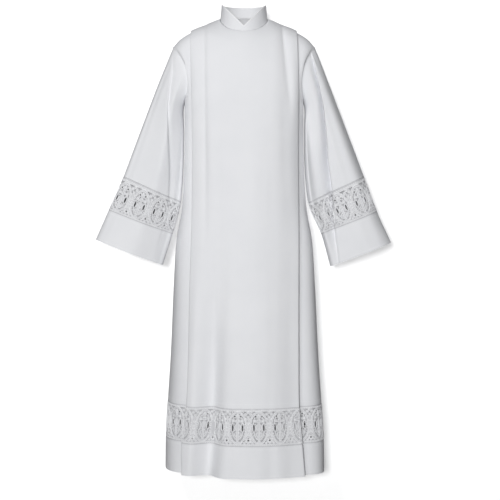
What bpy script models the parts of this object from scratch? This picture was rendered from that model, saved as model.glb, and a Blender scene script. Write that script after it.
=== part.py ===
"""Alb robe, worn and hollow: a long white vestment with pleated panels and lace bands.

Metres, +Z up. The front faces -Y and +X is to the right of someone who looks at the front.
The origin is between the shoulders, at the height where the cloth rests beside the neck.
"""

import math

import bpy
from mathutils import Vector
from mathutils.geometry import delaunay_2d_cdt

# Sizes that drive the whole garment
BODY_LENGTH = 1.515
LACE_DROP = 1.282
LACE_HEIGHT = 0.126
CLOTH = 0.0015
COLLAR_CLOTH = 0.0024
SEAM = 0.0003

# Neck and shoulders
NECK_HALF = 0.080
NECK_FRONT = 0.0725
NECK_BACK = 0.066
NECK_SIDE_Z = 0.004
NECK_FRONT_Z = -0.046
NECK_BACK_Z = 0.014
SEAM_Y = -0.010
SHOULDER_HALF = 0.236
COLLAR_TOP_Z = 0.046
COLLAR_TOP_HALF = 0.0745
COLLAR_TOP_FRONT = 0.066
COLLAR_TOP_BACK = 0.062
NOTCH_Z = -0.030
BINDING_RADIUS = 0.0016

# Armhole: a loop from the shoulder tip to the underarm
CHEST_DROP = 0.200
UNDERARM_DROP = 0.272
ARMHOLE_X = {-1: 0.184, 1: 0.190}
ARMHOLE_DEPTH = {-1: 0.062, 1: 0.058}
ARMHOLE_SOFT_DROP = 0.48
ARMHOLE_REACH = 14

# Shape of a section: 2 is an ellipse, more is squarer
SECTION_POWER = 2.6
SHOULDER_SLANT = 25.0
LEAN_STEP = 0.002

SHOULDER_LINE = (
    {"x": 0.080, "z": 0.004},
    {"x": 0.130, "z": -0.016},
    {"x": 0.182, "z": -0.039},
    {"x": 0.212, "z": -0.062},
    {"x": 0.236, "z": -0.091},
)

# The body from the chest down. half: half width. front, back: depth at the centre.
# turn: where a side is widest, along Y. panel: half width of the outer panel. fold: its radius.
BODY = (
    {"drop": 0.000, "half": 0.200, "front": 0.098, "back": 0.088, "turn_left": 0.000,
     "turn_right": 0.000, "panel_left": 0.178, "panel_right": 0.176, "fold": 0.0024},
    {"drop": 0.200, "half": 0.199, "front": 0.118, "back": 0.104, "turn_left": 0.000,
     "turn_right": 0.000, "panel_left": 0.176, "panel_right": 0.182, "fold": 0.0028},
    {"drop": 0.272, "half": 0.199, "front": 0.123, "back": 0.108, "turn_left": 0.000,
     "turn_right": 0.000, "panel_left": 0.175, "panel_right": 0.183, "fold": 0.0030},
    {"drop": 0.450, "half": 0.200, "front": 0.126, "back": 0.112, "turn_left": 0.006,
     "turn_right": 0.000, "panel_left": 0.174, "panel_right": 0.183, "fold": 0.0034},
    {"drop": 0.620, "half": 0.209, "front": 0.130, "back": 0.118, "turn_left": 0.018,
     "turn_right": 0.002, "panel_left": 0.175, "panel_right": 0.184, "fold": 0.0038},
    {"drop": 0.735, "half": 0.229, "front": 0.134, "back": 0.126, "turn_left": 0.030,
     "turn_right": 0.003, "panel_left": 0.177, "panel_right": 0.185, "fold": 0.0040},
    {"drop": 0.900, "half": 0.240, "front": 0.140, "back": 0.138, "turn_left": 0.045,
     "turn_right": 0.003, "panel_left": 0.183, "panel_right": 0.186, "fold": 0.0044},
    {"drop": 1.120, "half": 0.251, "front": 0.148, "back": 0.152, "turn_left": 0.062,
     "turn_right": 0.000, "panel_left": 0.188, "panel_right": 0.187, "fold": 0.0048},
    {"drop": 1.282, "half": 0.262, "front": 0.153, "back": 0.164, "turn_left": 0.074,
     "turn_right": -0.004, "panel_left": 0.196, "panel_right": 0.189, "fold": 0.0050},
    {"drop": 1.408, "half": 0.270, "front": 0.155, "back": 0.172, "turn_left": 0.080,
     "turn_right": -0.006, "panel_left": 0.212, "panel_right": 0.199, "fold": 0.0050},
    {"drop": 1.515, "half": 0.272, "front": 0.156, "back": 0.176, "turn_left": 0.082,
     "turn_right": -0.006, "panel_left": 0.214, "panel_right": 0.208, "fold": 0.0050},
)
PLEAT_DEPTH = {"shoulder": 0.034, "hem": 0.052}

# Soft folds of the panels. x: where the fold lies, width: its half width, in: how far it sinks.
FRONT_FOLDS = (
    {"name": "long trough", "rows": (
        {"drop": 0.62, "x": -0.084, "width": 0.034, "in": 0.000},
        {"drop": 0.80, "x": -0.090, "width": 0.034, "in": 0.007},
        {"drop": 1.00, "x": -0.103, "width": 0.036, "in": 0.022},
        {"drop": 1.19, "x": -0.112, "width": 0.040, "in": 0.042},
        {"drop": 1.40, "x": -0.122, "width": 0.042, "in": 0.052},
        {"drop": 1.52, "x": -0.136, "width": 0.044, "in": 0.050},
    )},
    {"name": "left tuck", "rows": (
        {"drop": 0.00, "x": -0.137, "width": 0.016, "in": 0.003},
        {"drop": 0.40, "x": -0.134, "width": 0.018, "in": 0.004},
        {"drop": 0.75, "x": -0.134, "width": 0.020, "in": 0.000},
    )},
    {"name": "right tuck", "rows": (
        {"drop": 0.00, "x": 0.125, "width": 0.016, "in": 0.004},
        {"drop": 0.15, "x": 0.140, "width": 0.017, "in": 0.006},
        {"drop": 0.45, "x": 0.156, "width": 0.018, "in": 0.000},
    )},
    {"name": "right roll", "rows": (
        {"drop": 0.60, "x": 0.150, "width": 0.040, "in": 0.000},
        {"drop": 1.00, "x": 0.158, "width": 0.042, "in": 0.008},
        {"drop": 1.52, "x": 0.166, "width": 0.044, "in": 0.010},
    )},
)
BACK_FOLDS = (
    {"name": "left trough", "rows": (
        {"drop": 0.55, "x": -0.070, "width": 0.036, "in": 0.000},
        {"drop": 1.00, "x": -0.082, "width": 0.038, "in": 0.018},
        {"drop": 1.52, "x": -0.096, "width": 0.042, "in": 0.040},
    )},
    {"name": "right trough", "rows": (
        {"drop": 0.70, "x": 0.086, "width": 0.036, "in": 0.000},
        {"drop": 1.15, "x": 0.096, "width": 0.038, "in": 0.020},
        {"drop": 1.52, "x": 0.108, "width": 0.042, "in": 0.030},
    )},
)

# Sleeve stations: 0 armhole, 1 top of the lace, 2 foot of the lace, 3 edge of the cuff.
SLEEVES = {
    -1: (
        {"at": 0.0, "outer_x": 0.236, "outer_z": -0.091, "inner_x": 0.2000, "inner_z": -0.272, "deep": 0.064},
        {"at": 0.1, "outer_x": 0.254, "outer_z": -0.134, "inner_x": 0.2035, "inner_z": -0.305, "deep": 0.064},
        {"at": 0.3, "outer_x": 0.289, "outer_z": -0.219, "inner_x": 0.2030, "inner_z": -0.372, "deep": 0.063},
        {"at": 0.7, "outer_x": 0.355, "outer_z": -0.391, "inner_x": 0.2060, "inner_z": -0.506, "deep": 0.058},
        {"at": 1.0, "outer_x": 0.404, "outer_z": -0.520, "inner_x": 0.2130, "inner_z": -0.605, "deep": 0.054},
        {"at": 2.0, "outer_x": 0.455, "outer_z": -0.634, "inner_x": 0.2410, "inner_z": -0.715, "deep": 0.052},
        {"at": 3.0, "outer_x": 0.499, "outer_z": -0.733, "inner_x": 0.2740, "inner_z": -0.820, "deep": 0.050},
    ),
    1: (
        {"at": 0.0, "outer_x": 0.236, "outer_z": -0.091, "inner_x": 0.2000, "inner_z": -0.272, "deep": 0.064},
        {"at": 0.1, "outer_x": 0.254, "outer_z": -0.134, "inner_x": 0.2035, "inner_z": -0.305, "deep": 0.064},
        {"at": 0.3, "outer_x": 0.287, "outer_z": -0.219, "inner_x": 0.2030, "inner_z": -0.372, "deep": 0.063},
        {"at": 0.7, "outer_x": 0.353, "outer_z": -0.391, "inner_x": 0.2060, "inner_z": -0.506, "deep": 0.058},
        {"at": 1.0, "outer_x": 0.402, "outer_z": -0.520, "inner_x": 0.2170, "inner_z": -0.607, "deep": 0.054},
        {"at": 2.0, "outer_x": 0.447, "outer_z": -0.639, "inner_x": 0.2600, "inner_z": -0.714, "deep": 0.052},
        {"at": 3.0, "outer_x": 0.495, "outer_z": -0.743, "inner_x": 0.2910, "inner_z": -0.823, "deep": 0.050},
    ),
}
SLEEVE_FOLDS = {
    -1: (
        {"turn": 60.0, "width": 26.0, "top": 0.004, "middle": 0.012, "foot": 0.004},
        {"turn": 128.0, "width": 22.0, "top": 0.002, "middle": 0.006, "foot": 0.006},
        {"turn": 262.0, "width": 26.0, "top": 0.003, "middle": 0.010, "foot": 0.006},
    ),
    1: (
        {"turn": 112.0, "width": 24.0, "top": 0.010, "middle": 0.020, "foot": 0.006},
        {"turn": 246.0, "width": 26.0, "top": 0.003, "middle": 0.010, "foot": 0.006},
    ),
}
LENS = 1.12
ARMHOLE_FADE = {"top": 0.55, "underarm": 0.085}
NECK_INSET = 0.0012
RING_SEAM = 0.003

# One repeat of the lace and its gaps. across, up: centre in parts of the repeat and the band.
LACE_REPEAT = 0.070
LACE_EDGE = 0.0035
LOOP_SHOULDER = 0.62
LACE_GAPS = (
    {"name": "left loop", "across": 0.27, "up": 0.50, "wide": 0.0056, "tall": 0.024, "points": 6},
    {"name": "right loop", "across": 0.73, "up": 0.50, "wide": 0.0056, "tall": 0.024, "points": 6},
    {"name": "left eye", "across": 0.35, "up": 0.80, "wide": 0.0058, "tall": 0.0058, "points": 4},
    {"name": "right eye", "across": 0.65, "up": 0.80, "wide": 0.0058, "tall": 0.0058, "points": 4},
    {"name": "flower", "across": 0.00, "up": 0.17, "wide": 0.0060, "tall": 0.0060, "points": 4},
)

# Columns of a half panel: the first ones meet the neckline
NECK_STEPS = 5
FRONT_SHARES = (0.55, 0.65, 0.75, 0.84, 0.92, 1.0)
BACK_SHARES = (0.62, 0.80, 1.0)
FOLD_STEPS = 3
RETURN_STEPS = 2
SIDE_STEPS = {"front": 5, "back": 4}
UPPER_STEPS = 6
ARMHOLE_STEPS = 4
BODY_DROPS = (0.34, 0.45, 0.56, 0.67, 0.78, 0.90, 1.03, 1.16, LACE_DROP)
SLEEVE_AT = (0.0, 0.08, 0.18, 0.30, 0.44, 0.58, 0.72, 0.86, 1.0)
COLLAR_COLUMNS = 40
COLLAR_ROWS = 3


def value(table, column, at, key):
    """A column of a table at a place between its rows, on a smooth curve through them."""
    places = [row[key] for row in table]
    heights = [row[column] for row in table]
    last = len(table) - 1
    at = min(max(at, places[0]), places[last])
    i = max(k for k in range(last) if places[k] <= at)

    def slope(k):
        low, high = max(k - 1, 0), min(k + 1, last)
        return (heights[high] - heights[low]) / (places[high] - places[low])

    span = places[i + 1] - places[i]
    t = (at - places[i]) / span
    rise = heights[i + 1] - heights[i]
    start, end = slope(i) * span, slope(i + 1) * span
    return heights[i] + t * (start + t * (3 * rise - 2 * start - end + t * (start + end - 2 * rise)))


def eased(share):
    share = min(max(share, 0.0), 1.0)
    return share * share * (3 - 2 * share)


def body(column, drop):
    return value(BODY, column, drop, "drop")


def by_side(name, side):
    return name + ("_left" if side < 0 else "_right")


def top_line(face, x):
    """The upper edge of a body piece: the neckline, then the shoulder seam."""
    if x < NECK_HALF - 1e-6:
        round_part = math.sqrt(1 - (x / NECK_HALF) ** 2)
        depth = NECK_FRONT if face < 0 else NECK_BACK
        centre_z = NECK_FRONT_Z if face < 0 else NECK_BACK_Z
        y = SEAM_Y + face * depth * round_part
        return Vector((x, y, NECK_SIDE_Z + (centre_z - NECK_SIDE_Z) * round_part))
    return Vector((x, SEAM_Y, value(SHOULDER_LINE, "z", x, "x")))


def side_end(face, side, drop):
    """Where a section ends: on the armhole, or at the side seam below it."""
    if drop >= UNDERARM_DROP:
        return body("half", drop), body(by_side("turn", side), drop)
    sunk = min((drop - CHEST_DROP) / (UNDERARM_DROP - CHEST_DROP), 1.0)
    away = math.sqrt(max(1 - sunk**2, 0.0))
    under = body("half", UNDERARM_DROP)
    x = under + (ARMHOLE_X[side] - under) * away**2
    return x, face * ARMHOLE_DEPTH[side] * away


def section_point(face, side, share, drop):
    """A point of the single-layer body at a share of the half width, from the chest down."""
    end_x, edge_y = side_end(face, side, drop)
    depth = body("front" if face < 0 else "back", drop)
    flat = max(1 - share**SECTION_POWER, 0.0) ** (1 / SECTION_POWER)
    fade = 1 - eased((drop - CHEST_DROP) / (ARMHOLE_SOFT_DROP - CHEST_DROP))
    soft_y = body(by_side("turn", side), drop) + face * ARMHOLE_DEPTH[side] * fade
    end_y = soft_y + (edge_y - soft_y) * share**ARMHOLE_REACH
    return Vector((end_x * share, end_y + (face * depth - end_y) * flat, -drop))


def end_x(side, level):
    """Half width at a level: 0 at the shoulder, 1 at the chest, then metres below it."""
    if level <= 1:
        fall = math.sin(level * math.pi / 2) ** 2
        return SHOULDER_HALF + (ARMHOLE_X[side] - SHOULDER_HALF) * fall
    return side_end(-1, side, CHEST_DROP + level - 1)[0]


def skin(face, side, share, level):
    """The single-layer body: share 0 is the centre, 1 the armhole or the side seam."""
    if level >= 1:
        point = section_point(face, side, share, CHEST_DROP + level - 1)
    else:
        top = top_line(face, SHOULDER_HALF * share)
        chest = section_point(face, side, share, CHEST_DROP)
        slant = math.radians(SHOULDER_SLANT) * (1 - eased(top.x / (2 * NECK_HALF)))
        turn = slant + (math.pi / 2 - slant) * level
        out = (math.sin(turn) - math.sin(slant)) / (1 - math.sin(slant))
        down = (math.cos(slant) - math.cos(turn)) / math.cos(slant)
        x = end_x(side, level) * share
        point = Vector((x, top.y + (chest.y - top.y) * out, top.z + (chest.z - top.z) * down))
        below = section_point(face, side, share, CHEST_DROP + LEAN_STEP)
        point.y += (below.y - chest.y) / LEAN_STEP * (chest.z - point.z) * level**2
    return Vector((side * point.x, point.y, point.z))


def frame_at(face, side, share, level):
    """Outward normal and outward tangent of the single-layer body."""
    share = min(max(share, 0.011), 0.985)
    level = max(level, 0.01)
    along = skin(face, side, share + 0.01, level) - skin(face, side, share - 0.01, level)
    down = skin(face, side, share, level + 0.01) - skin(face, side, share, level - 0.01)
    normal = along.cross(down).normalized()
    if normal.y * face < 0 and abs(normal.y) > 0.2 or normal.z < -0.5:
        normal = -normal
    return normal, along.normalized()


def sink(face, x, drop):
    """How far the soft folds push a panel in."""
    total = 0.0
    for fold in FRONT_FOLDS if face < 0 else BACK_FOLDS:
        rows = fold["rows"]
        if drop < rows[0]["drop"] and rows[0]["in"] == 0 or drop > rows[-1]["drop"] and rows[-1]["in"] == 0:
            continue
        away = (x - value(rows, "x", drop, "drop")) / value(rows, "width", drop, "drop")
        total += value(rows, "in", drop, "drop") * math.exp(-(away**2))
    return total


def half_row(face, side, level):
    """One row of a half body piece, from the centre to the side, through the deep pleat."""
    drop = max(-skin(face, side, 0.5, level).z, 0.0) if level < 1 else CHEST_DROP + level - 1
    width = end_x(side, level)
    radius = body("fold", drop)
    panel = body(by_side("panel", side), drop)
    shallow, deep = PLEAT_DEPTH["shoulder"], PLEAT_DEPTH["hem"]
    depth = shallow + (deep - shallow) * min(drop / BODY_LENGTH, 1)

    def layer(x, height, aside=0.0):
        share = min(x / width, 1.0)
        normal, tangent = frame_at(face, side, share, level)
        loose = 1 - eased((x - panel) / max(width - panel, 0.001))
        raised = height * loose - sink(face, side * x, drop) * loose
        return skin(face, side, share, level) + normal * raised + tangent * aside

    neck_share = NECK_HALF / (body(by_side("panel", side), 0.0) - body("fold", 0.0))
    shares = [neck_share * math.sin(k * math.pi / 2 / NECK_STEPS) for k in range(NECK_STEPS + 1)]
    shares += FRONT_SHARES if face < 0 else BACK_SHARES
    row = [layer((panel - radius) * share, 0.0) for share in shares]
    for k in range(1, FOLD_STEPS + 1):
        turn = math.pi * k / FOLD_STEPS
        row.append(layer(panel - radius, radius * (math.cos(turn) - 1), radius * math.sin(turn)))
    inner = panel - radius - depth
    for k in range(1, RETURN_STEPS + 1):
        row.append(layer(panel - radius - depth * k / RETURN_STEPS, -2 * radius))
    for k in range(1, FOLD_STEPS + 1):
        turn = math.pi * k / FOLD_STEPS
        row.append(layer(inner, radius * (math.cos(turn) - 3), -radius * math.sin(turn)))
    start = math.asin(min(inner / width, 1.0) ** (SECTION_POWER / 2))
    steps = SIDE_STEPS["front" if face < 0 else "back"]
    for k in range(1, steps + 1):
        turn = start + (math.pi / 2 - start) * k / steps
        row.append(layer(width * math.sin(turn) ** (2 / SECTION_POWER), -4 * radius))
    return row


def body_row(face, level):
    """A whole row from one side to the other, with half a seam left free at each end."""
    left = half_row(face, -1, level)
    right = half_row(face, 1, level)
    row = left[:0:-1] + right
    for end in (0, -1):
        row[end].y += face * SEAM / 2
    return row if face < 0 else row[::-1]


def drop_level(drop):
    return 1 + drop - CHEST_DROP


def grid_normals(rows, closed):
    """Outward normals of a grid whose rows run down and whose columns run to the right."""
    normals = []
    for i, row in enumerate(rows):
        above, below = rows[max(i - 1, 0)], rows[min(i + 1, len(rows) - 1)]
        count = len(row)
        line = []
        for j in range(count):
            left = (j - 1) % count if closed else max(j - 1, 0)
            right = (j + 1) % count if closed else min(j + 1, count - 1)
            before = (row[j] - row[left]).normalized() if left != j else Vector()
            after = (row[right] - row[j]).normalized() if right != j else Vector()
            line.append((below[j] - above[j]).cross(before + after).normalized())
        normals.append(line)
    return normals


def keep_clear(normal, across):
    """A normal that doesn't push the inner face over a seam, across being the way to the next piece."""
    over = normal.dot(across)
    return (normal - across * over).normalized() if over < 0 else normal


def new_object(name, points, faces, colour):
    mesh = bpy.data.meshes.new(name)
    mesh.from_pydata(points, [], faces)
    mesh.validate()
    mesh.shade_smooth()
    mesh.set_sharp_from_angle(angle=math.radians(40))
    material = bpy.data.materials.new(name)
    material.use_nodes = True
    shader = material.node_tree.nodes["Principled BSDF"]
    shader.inputs["Base Color"].default_value = (*colour, 1)
    shader.inputs["Roughness"].default_value = 0.78
    shader.inputs["Metallic"].default_value = 0.0
    mesh.materials.append(material)
    made = bpy.data.objects.new(name, mesh)
    bpy.context.scene.collection.objects.link(made)
    return made


def wall(name, rows, normals, closed, thickness=CLOTH, colour=(0.90, 0.90, 0.92)):
    """A cloth wall: the grid is its outer face, and the inner face lies a thickness behind it."""
    count = len(rows[0])
    outer = [point for row in rows for point in row]
    inner = [p - n * thickness for row, line in zip(rows, normals) for p, n in zip(row, line)]
    back = len(outer)
    faces = []
    for i in range(len(rows) - 1):
        for j in range(count if closed else count - 1):
            a, b = i * count + j, i * count + (j + 1) % count
            c, d = b + count, a + count
            faces.append((a, d, c, b))
            faces.append((back + a, back + b, back + c, back + d))
    last = (len(rows) - 1) * count
    for j in range(count if closed else count - 1):
        k = (j + 1) % count
        faces.append((j, k, back + k, back + j))
        faces.append((last + k, last + j, back + last + j, back + last + k))
    if not closed:
        for i in range(len(rows) - 1):
            a, b = i * count, (i + 1) * count
            faces.append((b, a, back + a, back + b))
            faces.append((a + count - 1, b + count - 1, back + b + count - 1, back + a + count - 1))
    return new_object(name, outer + inner, faces, colour)


def lengths_along(row):
    total = [0.0]
    for first, second in zip(row, row[1:]):
        total.append(total[-1] + (second - first).length)
    return total


def lace_wall(name, rows, normals, start):
    """A lace band between two rows of points, with the gaps of each repeat cut right through."""
    middle = [(a + b) / 2 for a, b in zip(*rows)]
    places = lengths_along(middle)
    length = places[-1]
    height = sum((a - b).length for a, b in zip(*rows)) / len(middle)
    count = len(places)
    flat = [Vector((s, height)) for s in places] + [Vector((s, 0.0)) for s in places]
    edges = [(k, count + k) for k in range(count)]
    outline = [count + k for k in range(count)] + list(reversed(range(count)))
    outlines = [outline]
    for repeat in range(-1, int(length / LACE_REPEAT) + 2):
        for gap in LACE_GAPS:
            centre = start + (repeat + gap["across"]) * LACE_REPEAT
            rim = gap["wide"] / 2 + LACE_EDGE
            if not rim < centre < length - rim:
                continue
            first = len(flat)
            for k in range(gap["points"]):
                turn = 2 * math.pi * (k + 0.5 * (gap["points"] == 6)) / gap["points"]
                across, up = math.cos(turn), math.sin(turn)
                if gap["points"] == 6 and abs(across) > 0.5:
                    across, up = math.copysign(1, across), LOOP_SHOULDER * math.copysign(1, up)
                elif gap["points"] == 6:
                    across = 0.0
                middle_up = gap["up"] * height
                flat.append(Vector((centre + across * gap["wide"] / 2, middle_up + up * gap["tall"] / 2)))
            outlines.append(list(range(first, len(flat))))
    found = delaunay_2d_cdt(flat, edges, outlines, 0, 1e-6)
    places_found, triangles, owners = found[0], found[2], found[5]
    kept = [tri for tri, owner in zip(triangles, owners) if owner and max(owner) == 0]

    def lifted(place):
        k = max(i for i in range(count - 1) if places[i] <= place.x + 1e-7)
        t = min(max((place.x - places[k]) / (places[k + 1] - places[k]), 0.0), 1.0)
        up = place.y / height
        point = rows[0][k].lerp(rows[0][k + 1], t) * up + rows[1][k].lerp(rows[1][k + 1], t) * (1 - up)
        upper, lower = normals[0][k].lerp(normals[0][k + 1], t), normals[1][k].lerp(normals[1][k + 1], t)
        return point, upper * up + lower * (1 - up)

    used = sorted({k for tri in kept for k in tri})
    index = {k: n for n, k in enumerate(used)}
    pairs = [lifted(places_found[k]) for k in used]
    back = len(used)
    points = [p for p, _ in pairs] + [p - n * CLOTH for p, n in pairs]
    faces = []
    border = {}
    for tri in kept:
        a, b, c = (index[k] for k in tri)
        faces.append((a, b, c))
        faces.append((back + a, back + c, back + b))
        for first, second in ((a, b), (b, c), (c, a)):
            if (second, first) in border:
                del border[(second, first)]
            else:
                border[(first, second)] = True
    for first, second in border:
        faces.append((second, first, back + first, back + second))
    return new_object(name, points, faces, (0.84, 0.85, 0.87))


def body_levels():
    upper = [k / UPPER_STEPS for k in range(UPPER_STEPS)]
    deep = UNDERARM_DROP - CHEST_DROP
    armhole = [1 + deep * math.sin(k * math.pi / 2 / ARMHOLE_STEPS) for k in range(ARMHOLE_STEPS + 1)]
    return upper + armhole + [drop_level(drop) for drop in BODY_DROPS]


def body_piece(face):
    """The upper body on one face, from the shoulders to the lace."""
    rows = [body_row(face, level) for level in body_levels()]
    for point in rows[0]:
        if abs(point.x) > NECK_HALF * 0.98:
            point.y = SEAM_Y + face * SEAM / 2
    normals = grid_normals(rows, False)
    across = Vector((0, -face, 0))
    for line in normals[UPPER_STEPS + ARMHOLE_STEPS:]:
        line[0], line[-1] = keep_clear(line[0], across), keep_clear(line[-1], across)
    for row in range(UPPER_STEPS + ARMHOLE_STEPS + 1):
        for side in (-1, 1):
            edge = -1 if side * face < 0 else 0
            normals[row][edge] = keep_clear(normals[row][edge], armhole_across(side, row))
    normals[0] = [
        keep_clear(normal, across) if abs(point.x) > NECK_HALF * 0.98 else normal
        for point, normal in zip(rows[0], normals[0])
    ]
    return rows, normals


def hem_rows(face, drops):
    rows = [body_row(face, drop_level(drop)) for drop in drops]
    normals = grid_normals(rows, False)
    across = Vector((0, -face, 0))
    for line in normals:
        line[0], line[-1] = keep_clear(line[0], across), keep_clear(line[-1], across)
    return rows, normals


def armhole_across(side, row):
    """The way over the armhole seam, from the body to the sleeve, at a row of the body."""
    down = 1 - row / (UPPER_STEPS + ARMHOLE_STEPS)
    return Vector((side, 0, -1.1 * down)).normalized()


def armhole_loop(side, fronts, backs):
    """The body's edge round an armhole, from the shoulder tip down the front and up the back."""
    edge = -1 if side > 0 else 0
    other = 0 if side > 0 else -1
    count = UPPER_STEPS + ARMHOLE_STEPS + 1
    front = [fronts[0][k][edge] for k in range(count)]
    back = [backs[0][k][other] for k in range(count)]
    return front + back[-2:0:-1]


def sleeve_ring(side, at):
    """A ring of the sleeve: from its outer crease over the front to the inner crease and back."""
    table = SLEEVES[side]
    outer = Vector((side * value(table, "outer_x", at, "at"), SEAM_Y, value(table, "outer_z", at, "at")))
    inner = Vector((side * value(table, "inner_x", at, "at"), 0.0, value(table, "inner_z", at, "at")))
    centre, half = (outer + inner) / 2, (outer - inner) / 2
    depth = value(table, "deep", at, "at")
    out = half.cross(Vector((0, 1, 0))).normalized()
    count = 2 * (UPPER_STEPS + ARMHOLE_STEPS)
    ring = []
    for k in range(count):
        turn = 2 * math.pi * k / count
        lens = math.copysign(abs(math.sin(turn)) ** LENS, math.sin(turn))
        y = depth * lens
        for fold in SLEEVE_FOLDS[side]:
            away = (math.degrees(turn) - fold["turn"]) / fold["width"]
            rows = (
                {"at": 0.0, "in": fold["top"]}, {"at": 0.8, "in": fold["middle"]}, {"at": 3.0, "in": fold["foot"]},
            )
            y -= math.copysign(1, lens) * value(rows, "in", at, "at") * math.exp(-(away**2)) * min(at * 4, 1)
        ring.append(centre + half * math.cos(turn) + Vector((0, -y, 0)))
    return ring


def sleeve_rows(side, loop, stations):
    """Rings from the armhole down, which leave the loop of the armhole and become the plain rings."""
    start = sleeve_ring(side, 0.0)
    rows = []
    for at in stations:
        row = []
        for k, (point, edge, first) in enumerate(zip(sleeve_ring(side, at), loop, start)):
            low = (1 - math.cos(2 * math.pi * k / len(loop))) / 2
            fade = ARMHOLE_FADE["top"] + (ARMHOLE_FADE["underarm"] - ARMHOLE_FADE["top"]) * low
            row.append(point + (edge - first) * max(1 - at / fade, 0.0) ** 2)
        rows.append(row)
    return rows


def ring_order(rows, side):
    """Rings in the order that makes the outward normals of grid_normals point out."""
    return [[row[0]] + row[:0:-1] for row in rows] if side > 0 else rows


def sleeve(side, loop):
    rows = sleeve_rows(side, loop, SLEEVE_AT)
    count = len(loop)
    turns = [armhole_across(side, min(k, count - k)) for k in range(count)]
    rows[0] = [point + turn * SEAM for point, turn in zip(rows[0], turns)]
    rows = ring_order(rows, side)
    turns = ring_order([turns], side)[0]
    normals = grid_normals(rows, True)
    normals[0] = [keep_clear(normal, -turn) for normal, turn in zip(normals[0], turns)]
    return rows, normals


def make_body():
    """Front and back with the lace bands and plain borders below them."""
    made = {}
    for face, name in ((-1, "front"), (1, "back")):
        rows, normals = body_piece(face)
        made[name] = (rows, normals)
        wall("body_" + name, rows, normals, False)
        lace_foot = LACE_DROP + LACE_HEIGHT
        band, band_normals = hem_rows(face, (LACE_DROP + SEAM, lace_foot))
        lace_wall("hem_lace_" + name, band, band_normals, -0.5 * LACE_REPEAT)
        border, border_normals = hem_rows(face, (lace_foot + SEAM, (lace_foot + BODY_LENGTH) / 2, BODY_LENGTH))
        wall("hem_border_" + name, border, border_normals, False)
    return made


def make_sleeve(side, made):
    name = by_side("", side)
    loop = armhole_loop(side, made["front"], made["back"])
    rows, normals = sleeve(side, loop)
    wall("sleeve" + name, rows, normals, True)
    band = [sleeve_ring(side, 1.0 + RING_SEAM), sleeve_ring(side, 2.0)]
    count = len(band[0])
    half = count // 2
    for face, part, order in ((-1, "front", range(half + 1)), (1, "back", range(half, count + 1))):
        picked = [[row[k % count].copy() for k in order] for row in band]
        for row in picked:
            for end in (0, -1):
                row[end].y += face * SEAM / 2
        if side > 0:
            picked = [row[::-1] for row in picked]
        picked_normals = grid_normals(picked, False)
        across = Vector((0, -face, 0))
        for line in picked_normals:
            line[0], line[-1] = keep_clear(line[0], across), keep_clear(line[-1], across)
        lace_wall("sleeve_lace" + name + "_" + part, picked, picked_normals, 0.0)
    cuff = ring_order([sleeve_ring(side, at) for at in (2.0 + RING_SEAM, 2.5, 3.0)], side)
    wall("cuff" + name, cuff, grid_normals(cuff, True), True)


def collar_point(turn, share):
    """The collar's outer face: turn 0 is the centre front, share 0 the neckline, 1 the full height."""
    front = math.cos(turn) > 0
    low_depth = NECK_FRONT if front else NECK_BACK
    top_depth = COLLAR_TOP_FRONT if front else COLLAR_TOP_BACK
    centre_z = NECK_FRONT_Z if front else NECK_BACK_Z
    low_z = NECK_SIDE_Z + (centre_z - NECK_SIDE_Z) * abs(math.cos(turn)) + 2 * SEAM
    low_half, low_depth = NECK_HALF - NECK_INSET, low_depth - NECK_INSET
    low = Vector((low_half * math.sin(turn), SEAM_Y - low_depth * math.cos(turn), low_z))
    top = Vector((COLLAR_TOP_HALF * math.sin(turn), SEAM_Y - top_depth * math.cos(turn), COLLAR_TOP_Z))
    return low.lerp(top, share)


def collar_share(turn):
    """How far up the collar its top edge lies: the notch at the centre front is a straight V."""
    if math.cos(turn) <= 0:
        return 1.0
    low, top = collar_point(turn, 0.0), collar_point(turn, 1.0)
    edge = NOTCH_Z + (COLLAR_TOP_Z - NOTCH_Z) * abs(math.sin(turn))
    return min((edge - low.z) / (top.z - low.z), 1.0)


def make_collar():
    turns = [2 * math.pi * k / COLLAR_COLUMNS for k in range(COLLAR_COLUMNS)]
    rows = []
    for i in range(COLLAR_ROWS + 1):
        part = 1 - i / COLLAR_ROWS
        rows.append([collar_point(turn, part * collar_share(turn)) for turn in turns])
    normals = grid_normals(rows, True)
    normals[-1] = [keep_clear(normal, Vector((0, 0, -1))) for normal in normals[-1]]
    wall("collar", rows, normals, True, COLLAR_CLOTH)
    make_binding(rows[0], normals[0])


def make_binding(edge, normals):
    """A narrow bound edge: a tube that lies on the collar's top edge and follows the notch."""
    count = len(edge)
    sides = 6
    lift = BINDING_RADIUS + SEAM
    points = []
    for k in range(count):
        before = (edge[k] - edge[k - 1]).normalized()
        after = (edge[(k + 1) % count] - edge[k]).normalized()
        along = (before + after).normalized()
        up = normals[k].cross(along).normalized()
        up = up if up.z > 0 else -up
        miter = 1 / max(along.dot(after), 0.5)
        middle = edge[k] - normals[k] * COLLAR_CLOTH / 2 + up * lift * miter
        for n in range(sides):
            turn = 2 * math.pi * (n + 0.5) / sides
            across = normals[k] * math.cos(turn) * BINDING_RADIUS
            points.append(middle + across + up * math.sin(turn) * BINDING_RADIUS * miter)
    faces = []
    for k in range(count):
        for n in range(sides):
            a, b = k * sides + n, k * sides + (n + 1) % sides
            c, d = ((k + 1) % count) * sides + (n + 1) % sides, ((k + 1) % count) * sides + n
            faces.append((a, d, c, b))
    new_object("collar_binding", points, faces, (0.96, 0.96, 0.97))


def main():
    for obj in list(bpy.data.objects):
        bpy.data.objects.remove(obj, do_unlink=True)
    made = make_body()
    for side in (-1, 1):
        make_sleeve(side, made)
    make_collar()


main()
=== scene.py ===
import bisect
import math
from functools import lru_cache

import bmesh
import bpy
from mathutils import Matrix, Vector, noise
from mathutils.geometry import delaunay_2d_cdt


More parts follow.
